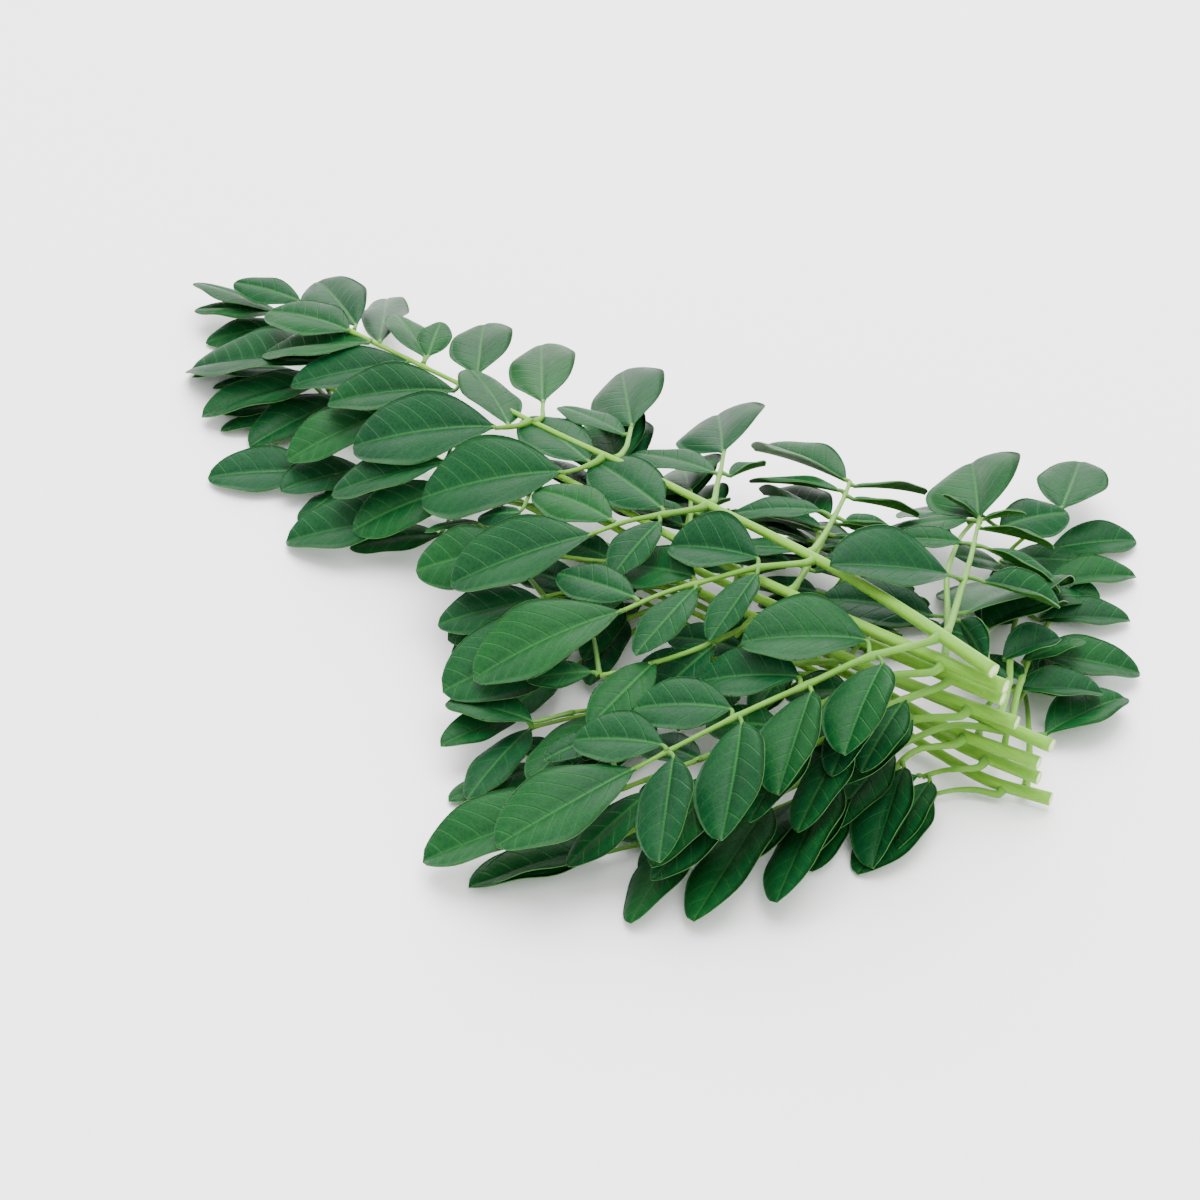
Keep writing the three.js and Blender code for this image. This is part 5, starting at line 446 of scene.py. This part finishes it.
   {"name": "frond7_right_pinna_2", "joined": False, "r": [0.62, 0.34], "path": [[69.59,-0.88,5.93],[66.94,5.86,4.83],[63.87,12.27,3.02],[60.82,18.48,0.53],[57.32,24.96,0.53]],
    "leaflets": [
     [63.95,12.11,3.08,61.77,11.17,3.18,48.47,5.45,1.78,-0.412,0.909,0.069,0.323,-0.915,0.24,3.9,0],
     [59.36,21.19,0.53,58.24,20.53,0.76,42.52,18.18,0.76,-0.086,0.971,-0.221,-0.034,-0.812,0.582,4.27,0],
     [64.39,11.22,3.45,66.2,11.8,3.55,69.64,19.87,0.76,-0.858,0.471,0.206,0.814,-0.052,0.579,2.52,0],
     [60.38,19.3,0.53,61.74,19.85,0.76,68.7,28.94,0.76,-0.83,0.527,-0.182,0.739,-0.182,0.649,3.29,0],
    ]},
  ]},
 {"name": "frond8",
  "stem": {"r": [1.3, 0.42], "path": [[113.56,2.58,2.36],[103.14,-0.95,2.36],[92.11,-1.12,2.27],[81.06,-0.83,2.14],[70.03,-1.48,1.97],[59.01,-2.31,1.82],[47.98,-3.02,1.56],[36.95,-3.62,1.21],[25.91,-4.23,1.21]],
   "leaflets": [
    [25.91,-4.23,1.21,24.93,-4.53,1.31,9.55,-8.49,0.66,-0.251,0.939,0.233,0.248,-0.969,0.016,4.13,0],
    [25.91,-4.23,1.21,27.08,-5.43,1.31,24.07,-22.67,0.96,-0.983,0.173,-0.062,0.972,-0.173,0.159,4.55,0],
   ]},
  "pinnae": [
   {"name": "frond8_left_pinna_1", "joined": False, "r": [0.72, 0.36], "path": [[106.27,-1.99,1.71],[103.31,-3.91,2.06],[100.72,-6.36,1.97],[98.92,-9.41,1.86]],
    "leaflets": [
     [98.92,-9.41,1.86,99.74,-10.92,1.96,102.05,-32.33,0.66,-0.975,-0.093,-0.203,0.903,0.072,0.424,5.61,1],
    ]},
   {"name": "frond8_left_pinna_3", "joined": False, "r": [0.62, 0.36], "path": [[49.31,-4.16,1.38],[50.09,-12.56,0.91],[50.65,-20.98,0.53],[50.32,-29.43,0.53],[49.5,-37.83,0.53],[48.11,-46.17,0.53]],
    "leaflets": [
     [48.11,-46.17,0.53,48.17,-47.4,0.63,42.62,-66.39,0.76,-0.941,0.274,-0.2,0.903,-0.262,0.339,5.14,0],
     [50.38,-27.82,0.53,51.37,-27.84,0.91,58.23,-46.79,3.17,-0.832,-0.304,-0.463,0.758,0.278,0.59,5.24,0],
     [48.11,-46.17,0.53,47.44,-45.51,0.63,40.25,-47.93,1.36,-0.28,0.918,0.282,0.314,-0.948,-0.043,2.33,1],
    ]},
   {"name": "frond8_right_pinna_1", "joined": False, "r": [0.72, 0.36], "path": [[108.47,2.48,2.24],[104.09,8.84,3.31],[99.31,14.9,2.54],[94.41,20.85,1.37],[89.05,26.47,0.63]],
    "leaflets": [
     [101.21,12.57,3.01,103.04,14.76,3.14,106.28,32.64,2.76,-0.96,0.179,0.214,0.873,-0.148,0.465,5.87,0],
     [89.05,26.47,0.63,88.66,27.51,0.73,90.4,44.22,0.66,-0.982,0.101,-0.16,0.932,-0.095,0.349,4.37,1],
    ]},
   {"name": "frond8_right_pinna_2", "joined": False, "r": [0.62, 0.34], "path": [[71.21,0.04,1.9],[68.2,7.1,1.06],[64.54,14.0,0.53],[60.8,20.89,0.53],[56.8,27.63,0.53]],
    "leaflets": [
     [64.53,14.03,0.53,62.21,12.92,0.76,49.64,6.5,0.76,-0.47,0.88,0.069,0.382,-0.892,0.24,3.8,0],
    ]},
  ]},
]


MM = 0.001
NT, NS = 24, 7          # rows along a blade, columns across half of it
TH = 0.30               # blade thickness at the midrib, mm


def unit(v):
    return v / max(1e-9, np.linalg.norm(v))


class Builder:
    """Collects the faces of one piece with their material, uv and tints."""

    def __init__(self):
        self.v, self.f, self.m, self.uv, self.mm, self.t = [], [], [], [], [], []
        self.n = 0

    def grid(self, P, uv, mm, mat, tint, flip=False, wrap=False):
        r, c = P.shape[:2]
        base = self.n
        self.v.append(P.reshape(-1, 3))
        self.n += r * c
        cols = c if wrap else c - 1
        for i in range(r - 1):
            for j in range(cols):
                j2 = (j + 1) % c
                q = [(i, j), (i, j2), (i + 1, j2), (i + 1, j)]
                if flip:
                    q = q[::-1]
                self.f.append([base + a * c + b for a, b in q])
                self.m.append(mat)
                for a, b in q:
                    bb = c if (wrap and b == 0 and j2 == 0 and j == c - 1) else b
                    self.uv.append((uv[a, b, 0], uv[a, b, 1]) if bb == b else (uv[a, b, 0], 1.0))
                    self.mm.append((mm[a, b, 0], mm[a, b, 1]))
                    self.t.append(tint)
        return base

    def fan(self, idx, centre, mat, tint, flip=False):
        self.v.append(np.array([centre]))
        k = self.n
        self.n += 1
        m = len(idx)
        for i in range(m):
            q = [idx[i], idx[(i + 1) % m], k]
            if flip:
                q = q[::-1]
            self.f.append(q)
            self.m.append(mat)
            for vtx in q:
                r = 0.0 if vtx == k else 1.0
                self.uv.append((r, i / m))
                self.mm.append((r, 0.0))
                self.t.append(tint)

    def done(self, name, mats):
        V = np.concatenate(self.v) * MM
        me = bpy.data.meshes.new(name)
        me.from_pydata(V.tolist(), [], self.f)
        for mt in mats:
            me.materials.append(mt)
        me.polygons.foreach_set("material_index", np.array(self.m, dtype=np.int32))
        me.polygons.foreach_set("use_smooth", np.ones(len(self.m), dtype=bool))
        a = me.uv_layers.new(name="blade")
        a.data.foreach_set("uv", np.array(self.uv, dtype=np.float32).ravel())
        b = me.uv_layers.new(name="span")
        b.data.foreach_set("uv", np.array(self.mm, dtype=np.float32).ravel())
        t = me.attributes.new("tint", "FLOAT_COLOR", "CORNER")
        T = np.ones((len(self.t), 4), dtype=np.float32)
        T[:, :3] = np.array(self.t, dtype=np.float32)
        t.data.foreach_set("color", T.ravel())
        me.validate()
        me.update()
        ob = bpy.data.objects.new(name, me)
        bpy.context.collection.objects.link(ob)
        return ob


def smooth_path(P, step=1.4):
    """Catmull-Rom through the points, about one sample every step mm."""
    P = np.asarray(P, float)
    Q = np.concatenate([[2 * P[0] - P[1]], P, [2 * P[-1] - P[-2]]])
    out = []
    for i in range(1, len(Q) - 2):
        p0, p1, p2, p3 = Q[i - 1], Q[i], Q[i + 1], Q[i + 2]
        n = max(2, int(np.linalg.norm(p2 - p1) / step))
        for k in range(n):
            t = k / n
            out.append(0.5 * ((2 * p1) + (p2 - p0) * t + (2 * p0 - 5 * p1 + 4 * p2 - p3) * t * t
                              + (3 * p1 - p0 - 3 * p2 + p3) * t ** 3))
    out.append(P[-1])
    return np.array(out)


def frames(P):
    """Rotation-minimising side vectors along a path."""
    T = np.gradient(P, axis=0)
    T /= np.linalg.norm(T, axis=1)[:, None]
    ref = np.array([0, 0, 1.0]) if abs(T[0][2]) < 0.9 else np.array([1.0, 0, 0])
    N = [unit(ref - (ref @ T[0]) * T[0])]
    for i in range(1, len(P)):
        n = N[-1] - (N[-1] @ T[i]) * T[i]
        N.append(unit(n))
    N = np.array(N)
    return T, N, np.cross(T, N)


def tube(bld, P, R, sides, mat, tint, rib=0.0, cap0=None, cap1=None, squash=1.0):
    T, N, B = frames(P)
    ang = np.linspace(0, 2 * np.pi, sides, endpoint=False)
    rr = np.asarray(R)[:, None] * (1 + rib * np.cos(ang * 5))[None, :]
    G = P[:, None, :] + rr[:, :, None] * (np.cos(ang)[None, :, None] * N[:, None, :] * squash
                                          + np.sin(ang)[None, :, None] * B[:, None, :])
    s = np.concatenate([[0], np.cumsum(np.linalg.norm(np.diff(P, axis=0), axis=1))])
    uv = np.zeros(G.shape[:2] + (2,))
    uv[..., 0] = (s / max(s[-1], 1e-6))[:, None]
    uv[..., 1] = (ang / (2 * np.pi))[None, :]
    mm = np.zeros_like(uv)
    mm[..., 0] = (np.asarray(R)[:, None] * ang[None, :])
    mm[..., 1] = s[:, None]
    base = bld.grid(G, uv, mm, mat, tint, wrap=True)
    c = sides
    first = [base + i for i in range(c)]
    last = [base + (len(P) - 1) * c + i for i in range(c)]
    bld.fan(first, P[0] - T[0] * (cap0 or 0) * 1.0, 4 if cap0 is not None else mat, tint, flip=True)
    bld.fan(last, P[-1] + T[-1] * (cap1 or 0), mat, tint, flip=False)


def profile(t, end):
    p = 1.15 if end else 1.0
    return np.sin(np.pi * np.clip(t, 0, 1) ** p) ** (0.80 - 0.26 * t)


def blade(bld, row, rnd, stalk_r):
    A, B, T = (np.array(row[i:i + 3], float) for i in (0, 3, 6))
    dU, dL = np.array(row[9:12], float), np.array(row[12:15], float)
    h, end = row[15], row[16] == 1
    L = np.linalg.norm(T - B)
    ax = unit(T - B)
    nrm = unit(np.cross(dL - dU, ax))
    if nrm[2] < 0:
        nrm = -nrm
    tone = rnd.random()
    age = rnd.random()
    tint = (tone, age, 1.0 if end else 0.0)
    tau = np.linspace(0, 1, NT)
    t = 0.55 * tau + 0.45 * 0.5 * (1 - np.cos(np.pi * tau))
    bend = rnd.uniform(-0.02, 0.02)
    side = unit(np.cross(nrm, ax))
    mid = B + (T - B) * t[:, None] + np.array([0, 0, 1.0]) * (0.035 * L * 4 * t * (1 - t))[:, None]
    mid = mid + side * (bend * L * np.sin(np.pi * t))[:, None]
    w = h * profile(t, end)
    w[0], w[-1] = max(w[0], 0.42), max(w[-1], 0.16)
    s = np.linspace(0, 1, NS + 1)
    ph = rnd.uniform(0, 6.28)
    halves = []
    for d, sg in ((dU, -1), (dL, 1)):
        d = unit(d)
        m = unit(d - (d @ ax) * ax)
        n2 = unit(np.cross(ax, m))
        if n2 @ nrm < 0:
            n2 = -n2
        k = rnd.uniform(0.94, 1.04)
        W = (w * k)[:, None] * s[None, :]
        bulge = h * 0.085 * (s - s * s)[None, :] * 4 * (w / h)[:, None]
        wave = 0.018 * L * (s ** 2)[None, :] * (np.sin(2 * np.pi * (1.6 * t) + ph + sg))[:, None] * np.sin(np.pi * t)[:, None]
        roll = -0.04 * h * (s ** 3)[None, :] * np.sin(np.pi * t)[:, None]
        # half blades sweep a little forward, as the veins do
        fwd = 0.06 * W * np.sin(np.pi * t)[:, None]
        P = mid[:, None, :] + W[:, :, None] * m + (bulge + wave + roll)[:, :, None] * n2 + fwd[:, :, None] * ax
        halves.append(P)
    G = np.concatenate([halves[0][:, ::-1, :], halves[1][:, 1:, :]], 1)
    S = np.concatenate([-s[::-1], s[1:]])
    dt = np.gradient(G, axis=0)
    ds = np.gradient(G, axis=1)
    Nn = np.cross(dt, ds)
    ln = np.linalg.norm(Nn, axis=2)[:, :, None]
    Nn = Nn / np.maximum(ln, 1e-9)
    if (Nn[NT // 2, NS] @ nrm) < 0:
        Nn = -Nn
    x = w[:, None] * S[None, :]
    # midrib: a groove above, a rounded keel below
    groove = 0.11 * np.exp(-(x / 0.42) ** 2)
    keel = 0.26 * np.exp(-(x / 0.40) ** 2) * (1 - 0.75 * t)[:, None]
    th = TH * (1 - 0.45 * np.abs(S) ** 3)[None, :] * np.ones((NT, 1))
    top = G + Nn * (th / 2 - groove)[:, :, None]
    bot = G - Nn * (th / 2 + keel)[:, :, None]
    top[:, NS] += 0
    uv = np.zeros(G.shape[:2] + (2,))
    uv[..., 0] = t[:, None]
    uv[..., 1] = (S * 0.5 + 0.5)[None, :]
    mm = np.zeros_like(uv)
    mm[..., 0] = x
    mm[..., 1] = (t * L)[:, None]
    ccw = np.cross(top[NT // 2, NS] - top[NT // 2, NS - 1], top[NT // 2 + 1, NS] - top[NT // 2, NS]) @ Nn[NT // 2, NS] > 0
    bt = bld.grid(top, uv, mm, 0, tint, flip=not ccw)
    bb = bld.grid(bot, uv, mm, 1, tint, flip=ccw)
    # rounded rim: top edge, outer ring, bottom edge
    c = 2 * NS + 1
    loop = [(i, 0) for i in range(NT)] + [(NT - 1, j) for j in range(1, c)] + [(i, c - 1) for i in range(NT - 2, -1, -1)] + [(0, j) for j in range(c - 2, 0, -1)]
    E = np.array([G[i, j] for i, j in loop])
    Tp = np.array([top[i, j] for i, j in loop])
    Bt = np.array([bot[i, j] for i, j in loop])
    inner = np.array([mid[min(max(i, 1), NT - 2)] for i, j in loop])
    out = E - inner
    out = out / np.maximum(np.linalg.norm(out, axis=1)[:, None], 1e-6)
    mid_ring = (Tp + Bt) / 2 + out * 0.11
    R = np.stack([Tp, mid_ring, Bt])
    m = len(loop)
    base = bld.n
    bld.v.append(mid_ring)
    bld.n += m
    it = [bt + i * c + j for i, j in loop]
    ib = [bb + i * c + j for i, j in loop]
    im = [base + i for i in range(m)]
    for a, b in ((it, im), (im, ib)):
        for i in range(m):
            j = (i + 1) % m
            q = [a[i], a[j], b[j], b[i]]
            if not ccw:
                q = q[::-1]
            q = q[::-1]
            bld.f.append(q)
            bld.m.append(2)
            for _ in q:
                bld.uv.append((loop[i][0] / NT, 0.0))
                bld.mm.append((h, 0.0))
                bld.t.append(tint)
    # petiolule, from inside the stalk into the blade's base
    d = B - A
    D = np.linalg.norm(d)
    if D < 0.5:
        d = ax * 0.5
    P0 = A + unit(d) * min(D * 0.3, stalk_r * 0.5)
    P3 = mid[1] * 0.55 + mid[2] * 0.45 - nrm * 0.12
    P1 = P0 + (B - P0) * 0.45 + np.array([0, 0, 0.25])
    P2 = B - ax * min(1.0, D * 0.25)
    q = np.linspace(0, 1, 9)[:, None]
    C = (1 - q) ** 3 * P0 + 3 * q * (1 - q) ** 2 * P1 + 3 * q * q * (1 - q) * P2 + q ** 3 * P3
    rr = np.interp(np.linspace(0, 1, 9), [0, 0.15, 0.5, 0.8, 1], [0.50, 0.42, 0.36, 0.36, 0.14])
    tube(bld, C, rr, 8, 3, (tone, 0.0, 0.0))


def stalk(bld, path, r, leaflets, sides, rnd, cut, start=None):
    P = np.array(path, float)
    if start is not None:
        P = np.concatenate([[start], P])
    P = smooth_path(P, 1.3 if cut else 1.1)
    s = np.concatenate([[0], np.cumsum(np.linalg.norm(np.diff(P, axis=0), axis=1))])
    u = s / s[-1]
    R = (0.88 * r[0] + (r[1] - 0.88 * r[0]) * u * (2 - u)) if cut else (r[0] + (r[1] - r[0]) * u) * 0.92
    for l in leaflets:
        d = np.linalg.norm(P - np.array(l[:3]), axis=1)
        R = R + 0.20 * R * np.exp(-(d / 1.1) ** 2)
    if not cut:
        R = R + 0.42 * r[0] * np.exp(-(s / 1.5) ** 2)
    tone = rnd.random()
    tube(bld, P, R, sides, 3, (tone, 1.0 if cut else 0.5, 0.0), rib=0.035 if cut else 0.02,
         cap0=-0.10 if cut else None)


# ---- materials --------------------------------------------------------------
class NodeKit:
    def __init__(self, name):
        self.mat = bpy.data.materials.new(name)
        self.mat.use_nodes = True
        self.nt = self.mat.node_tree
        self.nt.nodes.clear()
        self.out = self.nt.nodes.new("ShaderNodeOutputMaterial")
        self.bsdf = self.nt.nodes.new("ShaderNodeBsdfPrincipled")
        self.nt.links.new(self.bsdf.outputs[0], self.out.inputs[0])

    def node(self, kind, **kw):
        n = self.nt.nodes.new(kind)
        for k, v in kw.items():
            setattr(n, k, v)
        return n

    def link(self, a, b):
        self.nt.links.new(a, b)

    def math(self, op, a, b=None, c=None, clamp=False):
        n = self.node("ShaderNodeMath", operation=op, use_clamp=clamp)
        for i, x in enumerate((a, b, c)):
            if x is None:
                continue
            if isinstance(x, (int, float)):
                n.inputs[i].default_value = x
            else:
                self.link(x, n.inputs[i])
        return n.outputs[0]

    def rng(self, v, a, b, c=0.0, d=1.0, kind="SMOOTHSTEP"):
        n = self.node("ShaderNodeMapRange", interpolation_type=kind, clamp=True)
        self.link(v, n.inputs[0])
        for i, x in zip((1, 2, 3, 4), (a, b, c, d)):
            n.inputs[i].default_value = x
        return n.outputs[0]

    def mix(self, fac, a, b, blend="MIX"):
        n = self.node("ShaderNodeMix", data_type="RGBA", blend_type=blend)
        n.clamp_factor = True
        if isinstance(fac, (int, float)):
            n.inputs[0].default_value = fac
        else:
            self.link(fac, n.inputs[0])
        for x, i in ((a, 6), (b, 7)):
            if isinstance(x, tuple):
                n.inputs[i].default_value = x + (1.0,)
            else:
                self.link(x, n.inputs[i])
        return n.outputs[2]

    def uv(self, name):
        n = self.node("ShaderNodeUVMap", uv_map=name)
        s = self.node("ShaderNodeSeparateXYZ")
        self.link(n.outputs[0], s.inputs[0])
        return n.outputs[0], s.outputs[0], s.outputs[1]

    def tint(self):
        n = self.node("ShaderNodeAttribute", attribute_name="tint")
        s = self.node("ShaderNodeSeparateColor")
        self.link(n.outputs["Color"], s.inputs[0])
        return s.outputs[0], s.outputs[1], s.outputs[2]

    def noise(self, scale, detail=4.0, rough=0.55, vec=None):
        n = self.node("ShaderNodeTexNoise")
        n.inputs["Scale"].default_value = scale
        n.inputs["Detail"].default_value = detail
        n.inputs["Roughness"].default_value = rough
        if vec is None:
            g = self.node("ShaderNodeTexCoord")
            vec = g.outputs["Object"]
        self.link(vec, n.inputs["Vector"])
        return n.outputs[0]

    def bump(self, height, dist, strength=1.0, chain=None):
        n = self.node("ShaderNodeBump")
        n.inputs["Strength"].default_value = strength
        n.inputs["Distance"].default_value = dist
        self.link(height, n.inputs["Height"])
        if chain is not None:
            self.link(chain, n.inputs["Normal"])
        return n.outputs[0]

    def set(self, **kw):
        for k, v in kw.items():
            self.bsdf.inputs[k.replace("_", " ")].default_value = v


def veins(k):
    """Masks of the midrib, the side veins and the fine net, from the blade's own millimetres."""
    vec, x, y = k.uv("span")
    ax = k.math("ABSOLUTE", x)
    warp = k.math("MULTIPLY", k.math("SUBTRACT", k.noise(90.0, 2.0), 0.5), 1.3)
    rib = k.rng(k.math("ABSOLUTE", k.math("ADD", x, k.math("MULTIPLY", warp, 0.10))), 0.13, 0.42, 1.0, 0.0)
    # side veins leave at about 50 degrees and curve towards the tip
    lag = k.math("ADD", k.math("MULTIPLY", ax, 0.50), k.math("MULTIPLY", k.math("MULTIPLY", ax, ax), 0.055))
    side = k.math("MULTIPLY", k.math("SIGN", x), 0.22)
    ph = k.math("ADD", k.math("DIVIDE", k.math("ADD", k.math("SUBTRACT", y, lag), warp), 3.3), side)
    fr = k.math("ABSOLUTE", k.math("SUBTRACT", k.math("FRACT", ph), 0.5))
    vein = k.rng(fr, 0.0, 0.075, 1.0, 0.0)
    fade = k.rng(ax, 5.2, 7.8, 1.0, 0.25)
    vein = k.math("MULTIPLY", vein, fade)
    vor = k.node("ShaderNodeTexVoronoi", feature="DISTANCE_TO_EDGE")
    vor.inputs["Scale"].default_value = 1.15
    k.link(vec, vor.inputs["Vector"])
    net = k.rng(vor.outputs[0], 0.0, 0.16, 1.0, 0.0)
    return rib, vein, net, x, y, fr


def leaf_material(name, base, bright, dark, rib_col, vein_amt, rough, under=False):
    k = NodeKit(name)
    rib, vein, net, x, y, fr = veins(k)
    tone, age, end = k.tint()
    _, u, v = k.uv("blade")
    big = k.noise(55.0, 3.0)
    fine = k.noise(420.0, 5.0, 0.62)
    c = k.mix(k.rng(tone, 0.0, 1.0, 0.0, 1.0, "LINEAR"), base, bright)
    c = k.mix(k.math("MULTIPLY", k.rng(big, 0.38, 0.68), 0.45), c, dark)
    c = k.mix(k.math("MULTIPLY", k.rng(fine, 0.35, 0.75), 0.16), c, bright)
    # cells between veins are a little deeper than the tissue beside them
    c = k.mix(k.math("MULTIPLY", k.rng(fr, 0.12, 0.5), 0.20), c, dark)
    edge = k.rng(k.math("ABSOLUTE", k.math("SUBTRACT", v, 0.5)), 0.44, 0.50, 0.0, 1.0)
    c = k.mix(k.math("MULTIPLY", edge, 0.35), c, rib_col)
    c = k.mix(k.math("MULTIPLY", net, 0.10 if not under else 0.16), c, rib_col)
    c = k.mix(k.math("MULTIPLY", vein, vein_amt), c, rib_col)
    c = k.mix(k.math("MULTIPLY", rib, k.rng(u, 0.0, 1.0, 0.85, 0.45, "LINEAR")), c, rib_col)
    k.link(c, k.bsdf.inputs["Base Color"])
    r = k.math("ADD", rough, k.math("MULTIPLY", k.math("SUBTRACT", fine, 0.5), 0.18))
    k.link(r, k.bsdf.inputs["Roughness"])
    sgn = 1.0 if under else -1.0
    h = k.math("ADD", k.math("MULTIPLY", vein, sgn * 1.0), k.math("MULTIPLY", net, sgn * 0.22))
    b = k.bump(h, 0.00010, 0.8)
    b = k.bump(fine, 0.00006, 0.5, b)
    k.link(b, k.bsdf.inputs["Normal"])
    k.set(Specular_IOR_Level=0.11 if not under else 0.10, IOR=1.45)
    return k.mat


def rim_material():
    k = NodeKit("leaf_margin")
    tone, age, end = k.tint()
    n = k.noise(300.0, 3.0)
    c = k.mix(k.rng(n, 0.35, 0.7), (0.030, 0.145, 0.026), (0.065, 0.200, 0.045))
    k.link(c, k.bsdf.inputs["Base Color"])
    k.link(k.rng(n, 0.2, 0.8, 0.35, 0.5, "LINEAR"), k.bsdf.inputs["Roughness"])
    k.link(k.bump(n, 0.00004, 0.5), k.bsdf.inputs["Normal"])
    k.set(Specular_IOR_Level=0.25, IOR=1.45)
    return k.mat


def stem_material():
    k = NodeKit("green_stem")
    tone, thick, _ = k.tint()
    vec, x, y = k.uv("span")
    mp = k.node("ShaderNodeMapping")
    k.link(vec, mp.inputs[0])
    mp.inputs["Scale"].default_value = (5.0, 0.28, 1.0)
    streak = k.noise(1.0, 4.0, 0.6, mp.outputs[0])
    big = k.noise(70.0, 2.0)
    fine = k.noise(900.0, 4.0)
    thin = (0.058, 0.165, 0.022)
    stout = (0.150, 0.350, 0.028)
    c = k.mix(k.rng(thick, 0.0, 1.0, 0.0, 1.0, "LINEAR"), thin, stout)
    c = k.mix(k.math("MULTIPLY", k.rng(streak, 0.42, 0.66), 0.38), c, (0.070, 0.210, 0.018))
    c = k.mix(k.math("MULTIPLY", k.rng(big, 0.45, 0.7), 0.25), c, (0.22, 0.43, 0.055))
    c = k.mix(k.math("MULTIPLY", k.rng(fine, 0.55, 0.75), 0.15), c, (0.30, 0.48, 0.10))
    k.link(c, k.bsdf.inputs["Base Color"])
    k.link(k.rng(streak, 0.2, 0.8, 0.34, 0.50, "LINEAR"), k.bsdf.inputs["Roughness"])
    b = k.bump(streak, 0.00012, 0.6)
    b = k.bump(fine, 0.00004, 0.4, b)
    k.link(b, k.bsdf.inputs["Normal"])
    k.set(Specular_IOR_Level=0.25, IOR=1.45, Subsurface_Weight=0.12, Subsurface_Scale=0.0012)
    k.bsdf.inputs["Subsurface Radius"].default_value = (0.6, 1.0, 0.3)
    return k.mat


def cut_material():
    k = NodeKit("cut_stem_end")
    _, r, a = k.uv("blade")
    n = k.noise(1600.0, 4.0)
    c = k.mix(k.rng(r, 0.35, 0.95), (0.52, 0.72, 0.26), (0.30, 0.54, 0.09))
    c = k.mix(k.math("MULTIPLY", k.rng(n, 0.4, 0.65), 0.45), c, (0.80, 0.88, 0.60))
    k.link(c, k.bsdf.inputs["Base Color"])
    k.link(k.rng(n, 0.2, 0.8, 0.30, 0.55, "LINEAR"), k.bsdf.inputs["Roughness"])
    k.link(k.bump(n, 0.00008, 0.8), k.bsdf.inputs["Normal"])
    return k.mat


TOP = leaf_material("leaf_upper", (0.0016, 0.037, 0.0115), (0.0046, 0.060, 0.0105), (0.0008, 0.018, 0.0080),
                    (0.026, 0.120, 0.028), 0.22, 0.44)
UNDER = leaf_material("leaf_underside", (0.015, 0.090, 0.010), (0.026, 0.120, 0.011), (0.009, 0.065, 0.009),
                      (0.065, 0.190, 0.030), 0.32, 0.58, under=True)
RIM = rim_material()
STEM = stem_material()
CUT = cut_material()
MATS = [TOP, UNDER, RIM, STEM, CUT]


def nearest(path, p):
    P = np.array(path, float)
    best, q = 1e9, P[0]
    for a, b in zip(P[:-1], P[1:]):
        t = np.clip(((p - a) @ (b - a)) / max(1e-9, (b - a) @ (b - a)), 0, 1)
        c = a + t * (b - a)
        d = np.linalg.norm(p - c)
        if d < best:
            best, q = d, c
    return q


def build(name, parts):
    rnd = random.Random(name)
    bld = Builder()
    for part in parts:
        cut = part["cut"]
        stalk(bld, part["path"], part["r"], part["leaflets"], 18 if cut else 12, rnd, cut, part.get("start"))
        for row in part["leaflets"]:
            blade(bld, row, rnd, part["r"][0])
    ob = bld.done("look_" + name, MATS)
    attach(ob, "root")
    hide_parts(name)
    return ob


for fr in FRONDS:
    stem = fr["stem"]
    parts = [dict(stem, cut=True)]
    for p in fr["pinnae"]:
        q = nearest(stem["path"], np.array(p["path"][0], float))
        d = np.array(p["path"][0], float) - q
        if p["joined"]:
            parts.append(dict(p, cut=False))
        else:
            build(p["name"], [dict(p, cut=False, start=(q + d * 0.2).tolist())])
    build(fr["name"] + "_stem", parts)

# ---- floor, light and camera --------------------------------------------------
CAM = Vector((0.31056, -0.29912, 0.29894))
FORWARD = Vector((-0.572061, 0.572061, -0.587785))


def plain(name, col, rough):
    k = NodeKit(name)
    n = k.noise(30.0, 2.0)
    k.link(k.mix(k.math("MULTIPLY", n, 0.03), col, tuple(c * 0.97 for c in col)), k.bsdf.inputs["Base Color"])
    k.set(Roughness=rough, Specular_IOR_Level=0.15)
    return k.mat


me = bpy.data.meshes.new("floor")
S = 6.0
me.from_pydata([(-S, -S, -0.0002), (S, -S, -0.0002), (S, S, -0.0002), (-S, S, -0.0002)], [], [(0, 1, 2, 3)])
floor = bpy.data.objects.new("floor", me)
bpy.context.collection.objects.link(floor)
me.materials.append(plain("pale_floor", (0.95, 0.95, 0.95), 0.9))

world = bpy.data.worlds.new("soft_studio")
bpy.context.scene.world = world
world.use_nodes = True
bg = world.node_tree.nodes["Background"]
bg.inputs[0].default_value = (1.0, 1.0, 1.0, 1.0)
bg.inputs[1].default_value = 1.45


def area(name, loc, target, size, power):
    d = bpy.data.lights.new(name, "AREA")
    d.shape = "RECTANGLE"
    d.size, d.size_y = size
    d.energy = power
    o = bpy.data.objects.new(name, d)
    bpy.context.collection.objects.link(o)
    o.location = loc
    o.rotation_euler = (Vector(target) - Vector(loc)).to_track_quat("-Z", "Y").to_euler()
    return o


# a broad softbox above, one behind the bunch for the sheen on the blades
area("overhead", (-0.05, 0.10, 1.3), (0, 0, 0), (1.2, 1.2), 40.0)
area("behind", (-0.75, 0.85, 0.75), (0, 0, 0.02), (1.3, 0.8), 20.0)
area("front", (0.9, -0.3, 0.9), (0, 0, 0.02), (0.9, 0.9), 9.0)

cam_data = bpy.data.cameras.new("camera")
cam_data.sensor_width = 36.0
cam_data.lens = 84.0
cam_data.clip_start = 0.01
cam_data.clip_end = 50.0
cam = bpy.data.objects.new("camera", cam_data)
bpy.context.collection.objects.link(cam)
cam.matrix_world = Matrix.Translation(CAM) @ FORWARD.to_track_quat("-Z", "Y").to_matrix().to_4x4()
bpy.context.scene.camera = cam
